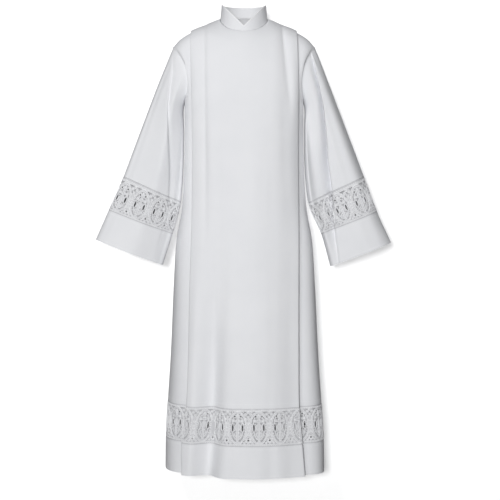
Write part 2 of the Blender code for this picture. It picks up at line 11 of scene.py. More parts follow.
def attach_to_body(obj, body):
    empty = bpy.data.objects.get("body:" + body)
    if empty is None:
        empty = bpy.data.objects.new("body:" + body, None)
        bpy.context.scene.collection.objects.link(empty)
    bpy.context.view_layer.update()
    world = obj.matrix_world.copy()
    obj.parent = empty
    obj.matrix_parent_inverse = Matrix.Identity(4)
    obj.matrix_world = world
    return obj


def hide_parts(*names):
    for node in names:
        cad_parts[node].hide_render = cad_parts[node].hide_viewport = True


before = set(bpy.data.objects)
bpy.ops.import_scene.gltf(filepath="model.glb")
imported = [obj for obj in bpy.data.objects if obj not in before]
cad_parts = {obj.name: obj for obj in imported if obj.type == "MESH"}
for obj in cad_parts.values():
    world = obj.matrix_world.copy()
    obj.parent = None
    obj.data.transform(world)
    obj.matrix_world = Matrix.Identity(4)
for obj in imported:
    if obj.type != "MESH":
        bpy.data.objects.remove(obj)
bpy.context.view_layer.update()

# Sizes shared by all pieces, in metres, as the solids have them; side -1 is the photo's left
robe = {
    "length": 1.515, "laceDrop": 1.282, "laceHeight": 0.126, "cloth": 0.0010, "seam": 0.0003, "seamY": -0.010,
    "shoulderHalf": 0.236, "chestDrop": 0.200, "underarmDrop": 0.272,
    "armholeX": {-1: 0.184, 1: 0.190}, "armholeDepth": {-1: 0.062, 1: 0.058},
    "armholeReach": 14,                   # the higher, the closer the armhole's depth keeps to the edge
    "softDrop": 0.48,                     # from here down nothing of that depth is left in the section
    "sectionPower": 2.6,                  # 2 is an ellipse, more is squarer
    "shoulderSlant": 25.0,
    "pleatDepth": (0.034, 0.052),         # at the shoulder and at the hem
    "sideSink": {-1: 0.011, 1: 0.007},    # how much deeper the cloth lies just past a panel
    "sinkDrop": 0.10,                     # where it has reached that
}
neck = {
    "half": 0.080, "front": 0.0725, "back": 0.066, "sideZ": 0.004, "frontZ": -0.046, "backZ": 0.014,
    "soft": 0.165, "melt": 0.45, "shoulderFrom": 0.98,
}
shoulderLine = [
    {"x": 0.080, "z": 0.004}, {"x": 0.130, "z": -0.016}, {"x": 0.182, "z": -0.039},
    {"x": 0.212, "z": -0.062}, {"x": 0.236, "z": -0.091},
]
steps = {"neck": 12, "panel": 26, "fold": 6, "under": 5, "side": 15, "upper": 20, "armhole": 12, "drops": 72}
armholeRows = steps["upper"] + steps["armhole"]


def tableOf(columns, *rows):
    return [dict(zip(columns, row)) for row in rows]


def foldTables(*folds):
    return [tableOf(("drop", "x", "width", "sink"), *rows) for rows in folds]


bodyTable = tableOf(
    ("drop", "half", "front", "back", "turnL", "turnR", "panelL", "panelR", "fold"),
    (0.000, 0.200, 0.098, 0.088, 0.000, 0.000, 0.178, 0.176, 0.0014),
    (0.200, 0.199, 0.118, 0.104, 0.000, 0.000, 0.176, 0.182, 0.0025),
    (0.272, 0.199, 0.123, 0.108, 0.000, 0.000, 0.175, 0.183, 0.0030),
    (0.450, 0.200, 0.126, 0.112, 0.006, 0.000, 0.174, 0.183, 0.0034),
    (0.620, 0.209, 0.130, 0.118, 0.018, 0.002, 0.175, 0.184, 0.0038),
    (0.735, 0.229, 0.134, 0.126, 0.030, 0.003, 0.177, 0.185, 0.0040),
    (0.900, 0.240, 0.140, 0.138, 0.045, 0.003, 0.183, 0.186, 0.0044),
    (1.120, 0.251, 0.148, 0.152, 0.062, 0.000, 0.188, 0.187, 0.0048),
    (1.282, 0.262, 0.153, 0.164, 0.074, -0.004, 0.196, 0.189, 0.0050),
    (1.408, 0.270, 0.155, 0.172, 0.080, -0.006, 0.212, 0.199, 0.0050),
    (1.515, 0.272, 0.156, 0.176, 0.082, -0.006, 0.214, 0.208, 0.0050),
)

# Folds of the panels, then their fine creases. Each has rows of a drop, its place across, its half width
# and how far it sinks (less than 0 stands out)
frontFolds = foldTables(
    ((0.62, -0.084, 0.034, 0.0), (0.80, -0.090, 0.034, 0.007), (1.00, -0.103, 0.036, 0.022),
     (1.19, -0.112, 0.040, 0.042), (1.40, -0.122, 0.042, 0.052), (1.52, -0.136, 0.044, 0.050)),
    ((0.00, -0.137, 0.016, 0.001), (0.06, -0.137, 0.016, 0.003), (0.40, -0.134, 0.018, 0.004),
     (0.75, -0.134, 0.020, 0.0)),
    ((0.00, 0.125, 0.016, 0.001), (0.06, 0.130, 0.016, 0.004), (0.15, 0.140, 0.017, 0.006),
     (0.45, 0.156, 0.018, 0.0)),
    ((0.60, 0.150, 0.040, 0.0), (1.00, 0.158, 0.042, 0.008), (1.52, 0.166, 0.044, 0.010)),
    ((0.00, -0.131, 0.006, 0.0), (0.06, -0.131, 0.006, 0.0022), (0.35, -0.129, 0.007, 0.0026),
     (0.70, -0.128, 0.010, 0.0018), (1.00, -0.132, 0.014, 0.0)),
    ((0.00, 0.125, 0.005, 0.0), (0.05, 0.130, 0.005, 0.0024), (0.12, 0.138, 0.006, 0.0040),
     (0.20, 0.148, 0.008, 0.0040), (0.32, 0.156, 0.010, 0.0)),
    ((0.10, 0.112, 0.014, 0.0), (0.26, 0.126, 0.016, 0.0020), (0.60, 0.142, 0.020, 0.0018),
     (0.95, 0.150, 0.022, 0.0)),
    ((0.55, -0.060, 0.012, 0.0), (0.85, -0.064, 0.014, 0.0022), (1.10, -0.074, 0.016, 0.0012),
     (1.30, -0.080, 0.016, 0.0)),
    ((0.80, -0.158, 0.012, 0.0), (1.10, -0.162, 0.014, -0.0030), (1.35, -0.172, 0.014, -0.0050),
     (1.52, -0.186, 0.012, -0.0050)),
    ((1.15, -0.020, 0.016, 0.0), (1.36, -0.026, 0.020, 0.0030), (1.52, -0.034, 0.022, 0.0050)),
    ((1.22, 0.078, 0.014, 0.0), (1.40, 0.084, 0.018, 0.0022), (1.52, 0.088, 0.020, 0.0036)),
    ((0.30, 0.010, 0.045, 0.0), (0.60, 0.020, 0.050, -0.0030), (1.10, 0.030, 0.050, -0.0040),
     (1.50, 0.034, 0.050, -0.0020)),
)
backFolds = foldTables(
    ((0.55, -0.070, 0.036, 0.0), (1.00, -0.082, 0.038, 0.018), (1.52, -0.096, 0.042, 0.040)),
    ((0.70, 0.086, 0.036, 0.0), (1.15, 0.096, 0.038, 0.020), (1.52, 0.108, 0.042, 0.030)),
    ((0.00, -0.128, 0.006, 0.0), (0.06, -0.129, 0.006, 0.0022), (0.30, -0.132, 0.007, 0.0024),
     (0.65, -0.134, 0.010, 0.0)),
    ((0.00, 0.124, 0.006, 0.0), (0.06, 0.125, 0.006, 0.0024), (0.22, 0.130, 0.008, 0.0030),
     (0.50, 0.136, 0.012, 0.0)),
    ((0.60, 0.020, 0.020, 0.0), (1.00, 0.016, 0.024, 0.0050), (1.50, 0.006, 0.030, 0.0120)),
    ((1.00, -0.040, 0.016, 0.0), (1.30, -0.044, 0.018, -0.0030), (1.52, -0.048, 0.020, -0.0050)),
    ((0.90, 0.160, 0.014, 0.0), (1.25, 0.168, 0.016, -0.0035), (1.52, 0.182, 0.016, -0.0050)),
)

# The cloth's slight waves: their height, how closely they follow across and down, and their seed
ripples = tableOf(("height", "across", "down", "seed"), (0.0010, 15, 3.2, 4.0), (0.0004, 46, 7.0, 9.0))
calm = {"topDrop": 0.12, "sideFrom": 0.86, "side": 0.9}   # no waves at the shoulders, few at the sides


def value(table, column, at, key):
    places = [row[key] for row in table]
    heights = [row[column] for row in table]
    last = len(table) - 1
    at = min(max(at, places[0]), places[last])
    i = max(k for k in range(last) if places[k] <= at)

    def slope(k):
        low, high = max(k - 1, 0), min(k + 1, last)
        return (heights[high] - heights[low]) / (places[high] - places[low])

    span = places[i + 1] - places[i]
    t = (at - places[i]) / span
    rise = heights[i + 1] - heights[i]
    start, end = slope(i) * span, slope(i + 1) * span
    return heights[i] + t * (start + t * (3 * rise - 2 * start - end + t * (start + end - 2 * rise)))


def eased(share):
    share = min(max(share, 0.0), 1.0)
    return share * share * (3 - 2 * share)


@lru_cache(maxsize=None)
def bodyAt(column, drop):
    return value(bodyTable, column, drop, "drop")


def sideName(side):
    return "Left" if side < 0 else "Right"


def neckline(face):
    return (neck["front"], neck["frontZ"]) if face < 0 else (neck["back"], neck["backZ"])


def topLine(face, x):
    # the upper edge of a body piece: the neckline, then the shoulder seam
    if x < neck["half"] - 1e-6:
        roundPart = math.sqrt(1 - (x / neck["half"]) ** 2)
        depth, centreZ = neckline(face)
        z = neck["sideZ"] + (centreZ - neck["sideZ"]) * roundPart
        return Vector((x, robe["seamY"] + face * depth * roundPart, z))
    return Vector((x, robe["seamY"], value(shoulderLine, "z", x, "x")))


@lru_cache(maxsize=None)
def sideEnd(face, side, drop):
    if drop >= robe["underarmDrop"]:
        return bodyAt("half", drop), bodyAt("turn" + sideName(side)[0], drop)
    sunk = min((drop - robe["chestDrop"]) / (robe["underarmDrop"] - robe["chestDrop"]), 1.0)
    away = math.sqrt(max(1 - sunk**2, 0.0))
    under = bodyAt("half", robe["underarmDrop"])
    return under + (robe["armholeX"][side] - under) * away**2, face * robe["armholeDepth"][side] * away


def sectionPoint(face, side, share, drop):
    endX, edgeY = sideEnd(face, side, drop)
    depth = bodyAt("front" if face < 0 else "back", drop)
    flat = max(1 - share ** robe["sectionPower"], 0.0) ** (1 / robe["sectionPower"])
    fade = 1 - eased((drop - robe["chestDrop"]) / (robe["softDrop"] - robe["chestDrop"]))
    softY = bodyAt("turn" + sideName(side)[0], drop) + face * robe["armholeDepth"][side] * fade
    endY = softY + (edgeY - softY) * share ** robe["armholeReach"]
    return Vector((endX * share, endY + (face * depth - endY) * flat, -drop))


def softTop(face, top, level):
    # away from the neckline its corner at the shoulder seam melts into the cloth
    near = math.cos(min(top.x / neck["soft"], 1.0) * math.pi / 2) ** 2
    depth, centreZ = neckline(face)
    lineZ = value(shoulderLine, "z", top.x, "x")
    soft = Vector((top.x, robe["seamY"] + face * depth * near, lineZ + (centreZ - lineZ) * near))
    return top.lerp(soft, eased(level / neck["melt"]))


# A level runs from 0 at the shoulders to 1 at the chest, and on from there with the drop in metres
def levelOf(drop):
    return 1 + drop - robe["chestDrop"]


def dropOf(face, side, level):
    return max(-skin(face, side, 0.5, level).z, 0.0) if level < 1 else robe["chestDrop"] + level - 1


def halfWidth(side, level):
    if level <= 1:
        fall = math.sin(level * math.pi / 2) ** 2
        return robe["shoulderHalf"] + (robe["armholeX"][side] - robe["shoulderHalf"]) * fall
    return sideEnd(-1, side, robe["chestDrop"] + level - 1)[0]


def skin(face, side, share, level):
    # the body as one layer: share 0 is the centre, 1 the armhole or side seam
    if level >= 1:
        point = sectionPoint(face, side, share, robe["chestDrop"] + level - 1)
    else:
        top = softTop(face, topLine(face, robe["shoulderHalf"] * share), level)
        chest = sectionPoint(face, side, share, robe["chestDrop"])
        slant = math.radians(robe["shoulderSlant"]) * (1 - eased(top.x / (2 * neck["half"])))
        turn = slant + (math.pi / 2 - slant) * level
        out = (math.sin(turn) - math.sin(slant)) / (1 - math.sin(slant))
        down = (math.cos(slant) - math.cos(turn)) / math.cos(slant)
        x = halfWidth(side, level) * share
        point = Vector((x, top.y + (chest.y - top.y) * out, top.z + (chest.z - top.z) * down))
        little = 0.002
        below = sectionPoint(face, side, share, robe["chestDrop"] + little)
        point.y += (below.y - chest.y) / little * (chest.z - point.z) * level**2
    return Vector((side * point.x, point.y, point.z))


def frameAt(face, side, share, level):
    step = 0.01
    share = min(max(share, 1.1 * step), 0.985)
    level = max(level, step)
    along = skin(face, side, share + step, level) - skin(face, side, share - step, level)
    down = skin(face, side, share, level + step) - skin(face, side, share, level - step)
    normal = along.cross(down).normalized()
    # it points out of the robe: away from the middle, or up on the shoulders
    if normal.y * face < 0 and abs(normal.y) > 0.2 or normal.z < -0.5:
        normal = -normal
    return normal, along.normalized()


def foldsAt(folds, drop):
    found = []
    for rows in folds:
        first, last = rows[0], rows[-1]
        if drop < first["drop"] and first["sink"] == 0 or drop > last["drop"] and last["sink"] == 0:
            continue
        found.append(tuple(value(rows, column, drop, "drop") for column in ("x", "width", "sink")))
    return found


def sunk(folds, x):
    return sum(deep * math.exp(-(((x - at) / width) ** 2)) for at, width, deep in folds)


def rippled(x, drop, face):
    return sum(
        row["height"] * noise.noise(Vector((x * row["across"], drop * row["down"], row["seed"] * face)))
        for row in ripples
    )


def halfRow(face, side, level, folds):
    # from the centre over the panel, round its fold, back under it, round again, and out to the side
    drop = dropOf(face, side, level)
    width = halfWidth(side, level)
    radius = bodyAt("fold", drop)
    panel = bodyAt("panel" + sideName(side)[0], drop)
    shallow, deep = robe["pleatDepth"]
    depth = shallow + (deep - shallow) * min(drop / robe["length"], 1)
    top, sideFrom = eased(drop / calm["topDrop"]), calm["sideFrom"] * width

    def layer(x, height, aside=0.0):
        share = min(x / width, 1.0)
        normal, tangent = frameAt(face, side, share, level)
        loose = 1 - eased((x - panel) / max(width - panel, 0.001))
        edge = 1 - eased((x - sideFrom) / (width - sideFrom)) * calm["side"]
        rough = rippled(side * x, drop, face) * top * edge
        raised = height * loose - sunk(folds, side * x) * loose + rough
        return skin(face, side, share, level) + normal * raised + tangent * aside

    neckShare = neck["half"] / (bodyAt("panel" + sideName(side)[0], 0.0) - bodyAt("fold", 0.0))
    flat, inner = panel - radius, panel - radius - depth
    row = []
    for k in range(steps["neck"] + 1):
        row.append(layer(flat * neckShare * math.sin(k * math.pi / 2 / steps["neck"]), 0.0))
    for k in range(1, steps["panel"] + 1):
        row.append(layer(flat * (neckShare + (1 - neckShare) * k / steps["panel"]), 0.0))
    turns = [math.pi * k / steps["fold"] for k in range(1, steps["fold"] + 1)]
    row += [layer(flat, radius * (math.cos(turn) - 1), radius * math.sin(turn)) for turn in turns]
    row += [layer(flat - depth * k / steps["under"], -2 * radius) for k in range(1, steps["under"] + 1)]
    row += [layer(inner, radius * (math.cos(turn) - 3), -radius * math.sin(turn)) for turn in turns]
    start = math.asin(min(inner / width, 1.0) ** (robe["sectionPower"] / 2))
    for k in range(1, steps["side"] + 1):
        turn = start + (math.pi / 2 - start) * k / steps["side"]
        x = width * math.sin(turn) ** (2 / robe["sectionPower"])
        past = eased((x - inner) / (panel - inner))
        deeper = robe["sideSink"][side] * eased(drop / robe["sinkDrop"]) * past
        row.append(layer(x, -4 * radius - deeper))
    return row


def parted(row, face):
    # leaves half the gap of a side seam at both ends
    for end in (0, -1):
        row[end].y += face * robe["seam"] / 2
    return row


def bodyRow(face, level):
    folds = foldsAt(frontFolds if face < 0 else backFolds, dropOf(face, 1, level))
    row = parted(halfRow(face, -1, level, folds)[:0:-1] + halfRow(face, 1, level, folds), face)
    return row if face < 0 else row[::-1]


def gridNormals(rows, closed):
    normals = []
    for i, row in enumerate(rows):
        above, below = rows[max(i - 1, 0)], rows[min(i + 1, len(rows) - 1)]
        count = len(row)
        line = []
        for j in range(count):
            left = (j - 1) % count if closed else max(j - 1, 0)
            right = (j + 1) % count if closed else min(j + 1, count - 1)
            before = (row[j] - row[left]).normalized() if left != j else Vector()
            after = (row[right] - row[j]).normalized() if right != j else Vector()
            line.append((below[j] - above[j]).cross(before + after).normalized())
        normals.append(line)
    return normals


def keepClear(normal, across):
    over = normal.dot(across)
    return (normal - across * over).normalized() if over < 0 else normal


def clearEnds(normals, face):
    # the inner face of the cloth doesn't cross the side seam
    across = Vector((0, -face, 0))
    for line in normals:
        line[0], line[-1] = keepClear(line[0], across), keepClear(line[-1], across)


def smoothed(rows, first, last, fixedEnds, rounds):
    # levels the bend at the chest: a row moves towards the middle of the rows above and below it
    for _ in range(rounds):
        fresh = [row[:] for row in rows[first:last]]
        for i in range(first, last):
            weight = 0.5 * math.sin(math.pi * ((i - first + 1) / (last - first + 1)))
            for j in range(fixedEnds, len(rows[i]) - fixedEnds):
                middle = (rows[i - 1][j] + rows[i + 1][j]) / 2
                fresh[i - first][j] = rows[i][j].lerp(middle, weight)
        rows[first:last] = fresh


def spread(start, end, count):
    return [start + (end - start) * k / count for k in range(count + 1)]


def lengthsAlong(row):
    total = [0.0]
    for a, b in zip(row, row[1:]):
        total.append(total[-1] + (b - a).length)
    return total


def placeOn(along, at):
    # which stretch of a line the length falls on, and how far along that stretch
    k = min(max(bisect.bisect_right(along, at) - 1, 0), len(along) - 2)
    return k, min(max((at - along[k]) / max(along[k + 1] - along[k], 1e-9), 0.0), 1.0)


def meshObject(name, points, faces, material, uvs=None):
    mesh = bpy.data.meshes.new(name)
    mesh.from_pydata([tuple(p) for p in points], [], faces)
    if uvs:
        layer = mesh.uv_layers.new(name="cloth")
        for loop in mesh.loops:
            layer.data[loop.index].uv = uvs[loop.vertex_index]
    mesh.shade_smooth()
    mesh.materials.append(material)
    obj = bpy.data.objects.new(name, mesh)
    bpy.context.scene.collection.objects.link(obj)
    return obj


def clothWall(name, rows, normals, closed, thickness, material):
    # the grid is the outer face of the cloth, the inner face lies a thickness behind it
    count = len(rows[0])
    wide = [lengthsAlong(row + row[:1] if closed else row) for row in rows]
    deep = [lengthsAlong([row[j] for row in rows]) for j in range(count)]
    outer = [point for row in rows for point in row]
    inner = [p - n * thickness for row, line in zip(rows, normals) for p, n in zip(row, line)]
    uvs = [(wide[i][j], deep[j][i]) for i in range(len(rows)) for j in range(count)] * 2
    back, last = len(outer), len(outer) - count
    across = [(j, (j + 1) % count) for j in range(count if closed else count - 1)]
    faces = []
    for start in range(0, last, count):
        for j, k in across:
            a, b, c, d = start + j, start + k, start + count + k, start + count + j
            faces += [(a, d, c, b), (back + a, back + b, back + c, back + d)]
    for j, k in across:
        faces += [(j, k, back + k, back + j), (last + k, last + j, back + last + j, back + last + k)]
    if not closed:
        for a in range(0, last, count):
            b, c, d = a + count, a + count - 1, a + 2 * count - 1
            faces += [(b, a, back + a, back + b), (c, d, back + d, back + c)]
    obj = meshObject(name, outer + inner, faces, material, uvs)
    obj.data.set_sharp_from_angle(angle=math.radians(62))
    return obj


def attach(obj, nodes=()):
    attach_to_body(obj, "root")
    if nodes:
        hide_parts(*nodes)


def declareSheet(obj, nodes):
    attach(obj, nodes)


# Nodes: an input takes a value or another node's output
def feed(tree, node, inputs):
    for key, source in inputs.items():
        if isinstance(source, bpy.types.NodeSocket):
            tree.links.new(source, node.inputs[key])
        else:
            node.inputs[key].default_value = source


def addNode(tree, kind, inputs=None, **settings):
    node = tree.nodes.new("ShaderNode" + kind)
    for name, setting in settings.items():
        setattr(node, name, setting)
    feed(tree, node, inputs or {})
    return node


def mathNode(tree, operation, *sources):
    return addNode(tree, "Math", dict(enumerate(sources)), operation=operation).outputs[0]


# Shared effects: a plain weave, and the soft unevenness of washed cloth
def newGroup(name, coordinate, numbers):
    group = bpy.data.node_groups.new(name, "ShaderNodeTree")
    group.interface.new_socket(name=coordinate, in_out="INPUT", socket_type="NodeSocketVector")
    for label, default in numbers.items():
        socket = group.interface.new_socket(name=label, in_out="INPUT", socket_type="NodeSocketFloat")
        socket.default_value = default
    for label in ("Height", "Shade"):
        group.interface.new_socket(name=label, in_out="OUTPUT", socket_type="NodeSocketFloat")
    return group, group.nodes.new("NodeGroupInput"), group.nodes.new("NodeGroupOutput")


def weaveGroup():
    group, into, out = newGroup("plainWeave", "Cloth", {"Thread": 0.0009, "Slub": 0.3})
    split = addNode(group, "SeparateXYZ", {0: into.outputs["Cloth"]})
    step = mathNode(group, "DIVIDE", math.pi, into.outputs["Thread"])
    waves = [mathNode(group, "MULTIPLY", split.outputs[k], step) for k in (0, 1)]
    over = mathNode(group, "MULTIPLY", *(mathNode(group, "SINE", wave) for wave in waves))
    stretch = addNode(group, "Mapping", {"Vector": into.outputs["Cloth"], "Scale": (1.0, 9.0, 1.0)})
    slub = addNode(group, "TexNoise", {"Vector": stretch.outputs[0], "Scale": 60.0, "Detail": 3.0})
    uneven = mathNode(group, "MULTIPLY", slub.outputs["Fac"], into.outputs["Slub"])
    shade = mathNode(group, "ADD", mathNode(group, "MULTIPLY", over, 0.25), uneven)
    feed(group, out, {"Height": mathNode(group, "ADD", over, uneven), "Shade": shade})
    return group


def washedGroup():
    group, into, out = newGroup("washedCloth", "Place", {"Scale": 22.0})
    large = addNode(group, "TexNoise", {
        "Vector": into.outputs["Place"], "Scale": into.outputs["Scale"], "Detail": 2.0,
    })
    feed(group, out, {"Height": large.outputs["Fac"], "Shade": large.outputs["Fac"]})
    return group


weave, washed = weaveGroup(), washedGroup()


def clothMaterial(look):
    material = bpy.data.materials.new(look["name"])
    material.use_nodes = True
    tree = material.node_tree
    place = addNode(tree, "TexCoord").outputs["Object"]
    cloth = addNode(tree, "UVMap", uv_map="cloth").outputs["UV"] if look["onUv"] else place
    threads = addNode(tree, "Group", {"Cloth": cloth, "Thread": look["thread"], "Slub": look["slub"]},
                      node_tree=weave).outputs
    soft = addNode(tree, "Group", {"Place": place, "Scale": look["washScale"]}, node_tree=washed).outputs
    both = mathNode(tree, "ADD", mathNode(tree, "MULTIPLY", threads["Shade"], 0.5), soft["Shade"])
    mix = addNode(tree, "Mix", {0: both, 6: (*look["dark"], 1), 7: (*look["colour"], 1)}, data_type="RGBA")
    fine = addNode(tree, "Bump", {
        "Distance": look["threadDepth"], "Strength": 0.6, "Height": threads["Height"],
    })
    wide = addNode(tree, "Bump", {
        "Distance": look["washDepth"], "Strength": 0.7, "Height": soft["Height"], "Normal": fine.outputs[0],
    })
    feed(tree, tree.nodes["Principled BSDF"], {
        "Base Color": mix.outputs[2], "Normal": wide.outputs[0], "Roughness": look["rough"],
        "Specular IOR Level": look["specular"], "Sheen Weight": look["sheen"], "Sheen Roughness": 0.45,
    })
    return material


looks = tableOf(
    ("name", "colour", "dark", "rough", "specular", "sheen", "thread", "threadDepth", "slub",
     "washScale", "washDepth", "onUv"),
    ("albCloth", (0.86, 0.865, 0.885), (0.80, 0.81, 0.835), 0.78, 0.30, 0.10, 0.0008, 0.00010, 0.35,
     9.0, 0.0012, True),
    ("collarCloth", (0.85, 0.855, 0.875), (0.79, 0.80, 0.825), 0.68, 0.38, 0.12, 0.0007, 0.00008, 0.2,
     16.0, 0.0005, True),
    # the net is greyer than the thread: painted shade, standing for the robe's dark inside seen through its
    # holes
    ("laceNet", (0.71, 0.715, 0.735), (0.58, 0.585, 0.605), 0.85, 0.25, 0.10, 0.0005, 0.00012, 0.5,
     30.0, 0.0002, False),
    ("laceThread", (0.93, 0.935, 0.95), (0.86, 0.865, 0.88), 0.82, 0.28, 0.15, 0.0005, 0.00012, 0.5,
     30.0, 0.0002, False),
    ("bindingCloth", (0.96, 0.965, 0.975), (0.93, 0.935, 0.95), 0.5, 0.5, 0.1, 0.0006, 0.00006, 0.2,
     30.0, 0.0002, False),
)
albCloth, collarCloth, laceNet, laceThread, bindingCloth = (clothMaterial(look) for look in looks)
print("materials done")


# Cloth of the body, front and back
body = {"chestRows": (9, 34), "rounds": 40, "stillEnds": 3, "edgeRows": 5, "laceRows": 12, "borderRows": 12}


def armholeAcross(side, row):
    down = 1 - row / armholeRows
    return Vector((side, 0, -1.1 * down)).normalized()


def bodyGrid(face):
    levels = [k / steps["upper"] for k in range(steps["upper"])]
    deep = robe["underarmDrop"] - robe["chestDrop"]
    levels += [1 + deep * math.sin(k * math.pi / 2 / steps["armhole"]) for k in range(steps["armhole"] + 1)]
    levels += [levelOf(drop) for drop in spread(robe["underarmDrop"], robe["laceDrop"], steps["drops"])[1:]]
    rows = [bodyRow(face, level) for level in levels]
    for point in rows[0]:
        if abs(point.x) > neck["half"] * neck["shoulderFrom"]:
            point.y = robe["seamY"] + face * robe["seam"] / 2
    first, last = body["chestRows"]
    smoothed(rows, first, last, body["stillEnds"], body["rounds"])
    smoothed(rows, first, steps["upper"] + body["edgeRows"], 0, body["rounds"] // 2)
    normals = gridNormals(rows, False)
    clearEnds(normals[armholeRows:], face)
    for row in range(armholeRows + 1):
        for side in (-1, 1):
            edge = -1 if side * face < 0 else 0
            normals[row][edge] = keepClear(normals[row][edge], armholeAcross(side, row))
    across = Vector((0, -face, 0))
    normals[0] = [
        keepClear(normal, across) if abs(point.x) > neck["half"] * neck["shoulderFrom"] else normal
        for point, normal in zip(rows[0], normals[0])
    ]
    return rows, normals


def hemGrid(face, start, end, count):
    rows = [bodyRow(face, levelOf(drop)) for drop in spread(start, end, count)]
    normals = gridNormals(rows, False)
    clearEnds(normals, face)
    return rows, normals


bodyRows = {}
lacePlaces = {}
laceFoot = robe["laceDrop"] + robe["laceHeight"]
for face, name in ((-1, "Front"), (1, "Back")):
    bodyRows[name] = bodyGrid(face)
    panel = clothWall("body" + name, *bodyRows[name], False, robe["cloth"], albCloth)
    declareSheet(panel, ["body_" + name.lower()])
    lacePlaces["hem" + name] = hemGrid(face, robe["laceDrop"] + robe["seam"], laceFoot, body["laceRows"])
    bodyRows["border" + name] = hemGrid(face, laceFoot + robe["seam"], robe["length"], body["borderRows"])
    border = clothWall("hemBorder" + name, *bodyRows["border" + name], False, robe["cloth"], albCloth)
    declareSheet(border, ["hem_border_" + name.lower()])
print("body done")

# Sleeves: 0 armhole, 1 top of the lace, 2 its foot, 3 edge of the cuff
sleeve = {
    "lens": 1.12, "fadeTop": 0.55, "fadeUnder": 0.085, "seam": 0.003,
    "fine": 4, "rows": 72, "laceRows": 10, "cuffRows": 14,
    "settle": 4,                            # folds are at full depth from 1 / 4 of the way to the lace
    "step": 1.6, "stepFade": 40,            # degrees round the sleeve, as the two below
    "grooveTail": 9.0, "grooveLip": 2.6,
    "tuck": 0.20,                           # how far a groove's cloth leans over it
    "uneven": 0.0022, "patch": 1.7, "patchDown": 1.3,
}
sleeveColumns = ("at", "outerX", "outerZ", "innerX", "innerZ", "depth")
sleeveTop = ((0.0, 0.236, -0.091, 0.2000, -0.272, 0.064), (0.1, 0.254, -0.134, 0.2030, -0.305, 0.064))
sleeveTable = {
    -1: tableOf(
        sleeveColumns, *sleeveTop,
        (0.3, 0.289, -0.219, 0.2015, -0.372, 0.063),
        (0.7, 0.355, -0.391, 0.2045, -0.506, 0.058),
        (1.0, 0.404, -0.520, 0.2120, -0.605, 0.054),
        (2.0, 0.455, -0.634, 0.2410, -0.715, 0.052),
        (3.0, 0.499, -0.733, 0.2740, -0.820, 0.050),
    ),
    1: tableOf(
        sleeveColumns, *sleeveTop,
        (0.3, 0.287, -0.219, 0.2015, -0.372, 0.063),
        (0.7, 0.353, -0.391, 0.2045, -0.506, 0.058),
        (1.0, 0.402, -0.520, 0.2160, -0.607, 0.054),
        (2.0, 0.447, -0.639, 0.2600, -0.714, 0.052),
        (3.0, 0.495, -0.743, 0.2910, -0.823, 0.050),
    ),
}
# Soft folds: the turn round the sleeve and the width in degrees, and the depth at three places along it
foldPlaces = {"top": 0.0, "middle": 0.8, "foot": 3.0}
sleeveFoldColumns = ("turn", "width", *foldPlaces)
sleeveFolds = {
    -1: tableOf(
        sleeveFoldColumns,
        (60.0, 26.0, 0.004, 0.012, 0.004), (128.0, 22.0, 0.002, 0.006, 0.006),
        (262.0, 26.0, 0.003, 0.010, 0.006), (36.0, 9.0, 0.003, 0.003, 0.001),
        (96.0, 10.0, -0.003, -0.004, -0.002), (150.0, 9.0, 0.000, 0.004, 0.003),
        (228.0, 10.0, -0.002, -0.003, -0.002), (300.0, 9.0, 0.002, 0.003, 0.002),
    ),
    1: tableOf(
        sleeveFoldColumns,
        (112.0, 24.0, 0.006, 0.010, 0.004), (246.0, 26.0, 0.003, 0.010, 0.006),
        (74.0, 9.0, -0.002, -0.004, -0.002), (46.0, 24.0, -0.004, -0.015, -0.006),
        (156.0, 17.0, -0.012, -0.030, -0.008), (212.0, 10.0, -0.002, -0.003, -0.001),
        (292.0, 9.0, 0.002, 0.003, 0.002),
    ),
}


# Hard folds: the cloth past the line lies deeper, with a groove along the line itself
def hardFold(onFront, *rows):
    return {"onFront": onFront, "rows": tableOf(("at", "turn", "step", "groove"), *rows)}


hardFolds = {
    -1: [
        hardFold(True, (0.0, 14, 0.000, 0.000), (0.15, 60, 0.003, 0.004), (0.5, 103, 0.005, 0.006),
                 (1.0, 128, 0.004, 0.004), (3.0, 138, 0.001, 0.000)),
        hardFold(False, (0.0, 70, 0.000, 0.000), (0.5, 92, 0.006, 0.010), (1.0, 104, 0.006, 0.008),
                 (3.0, 128, 0.002, 0.002)),
    ],
    1: [
        hardFold(True, (0.0, 42, 0.002, 0.004), (0.2, 66, 0.005, 0.036), (0.7, 95, 0.007, 0.058),
                 (1.0, 104, 0.007, 0.054), (2.0, 125, 0.004, 0.020), (3.0, 139, 0.001, 0.007)),
        hardFold(False, (0.0, 60, 0.000, 0.000), (0.5, 84, 0.005, 0.009), (1.0, 96, 0.005, 0.008),
                 (3.0, 118, 0.002, 0.002)),
    ],
}


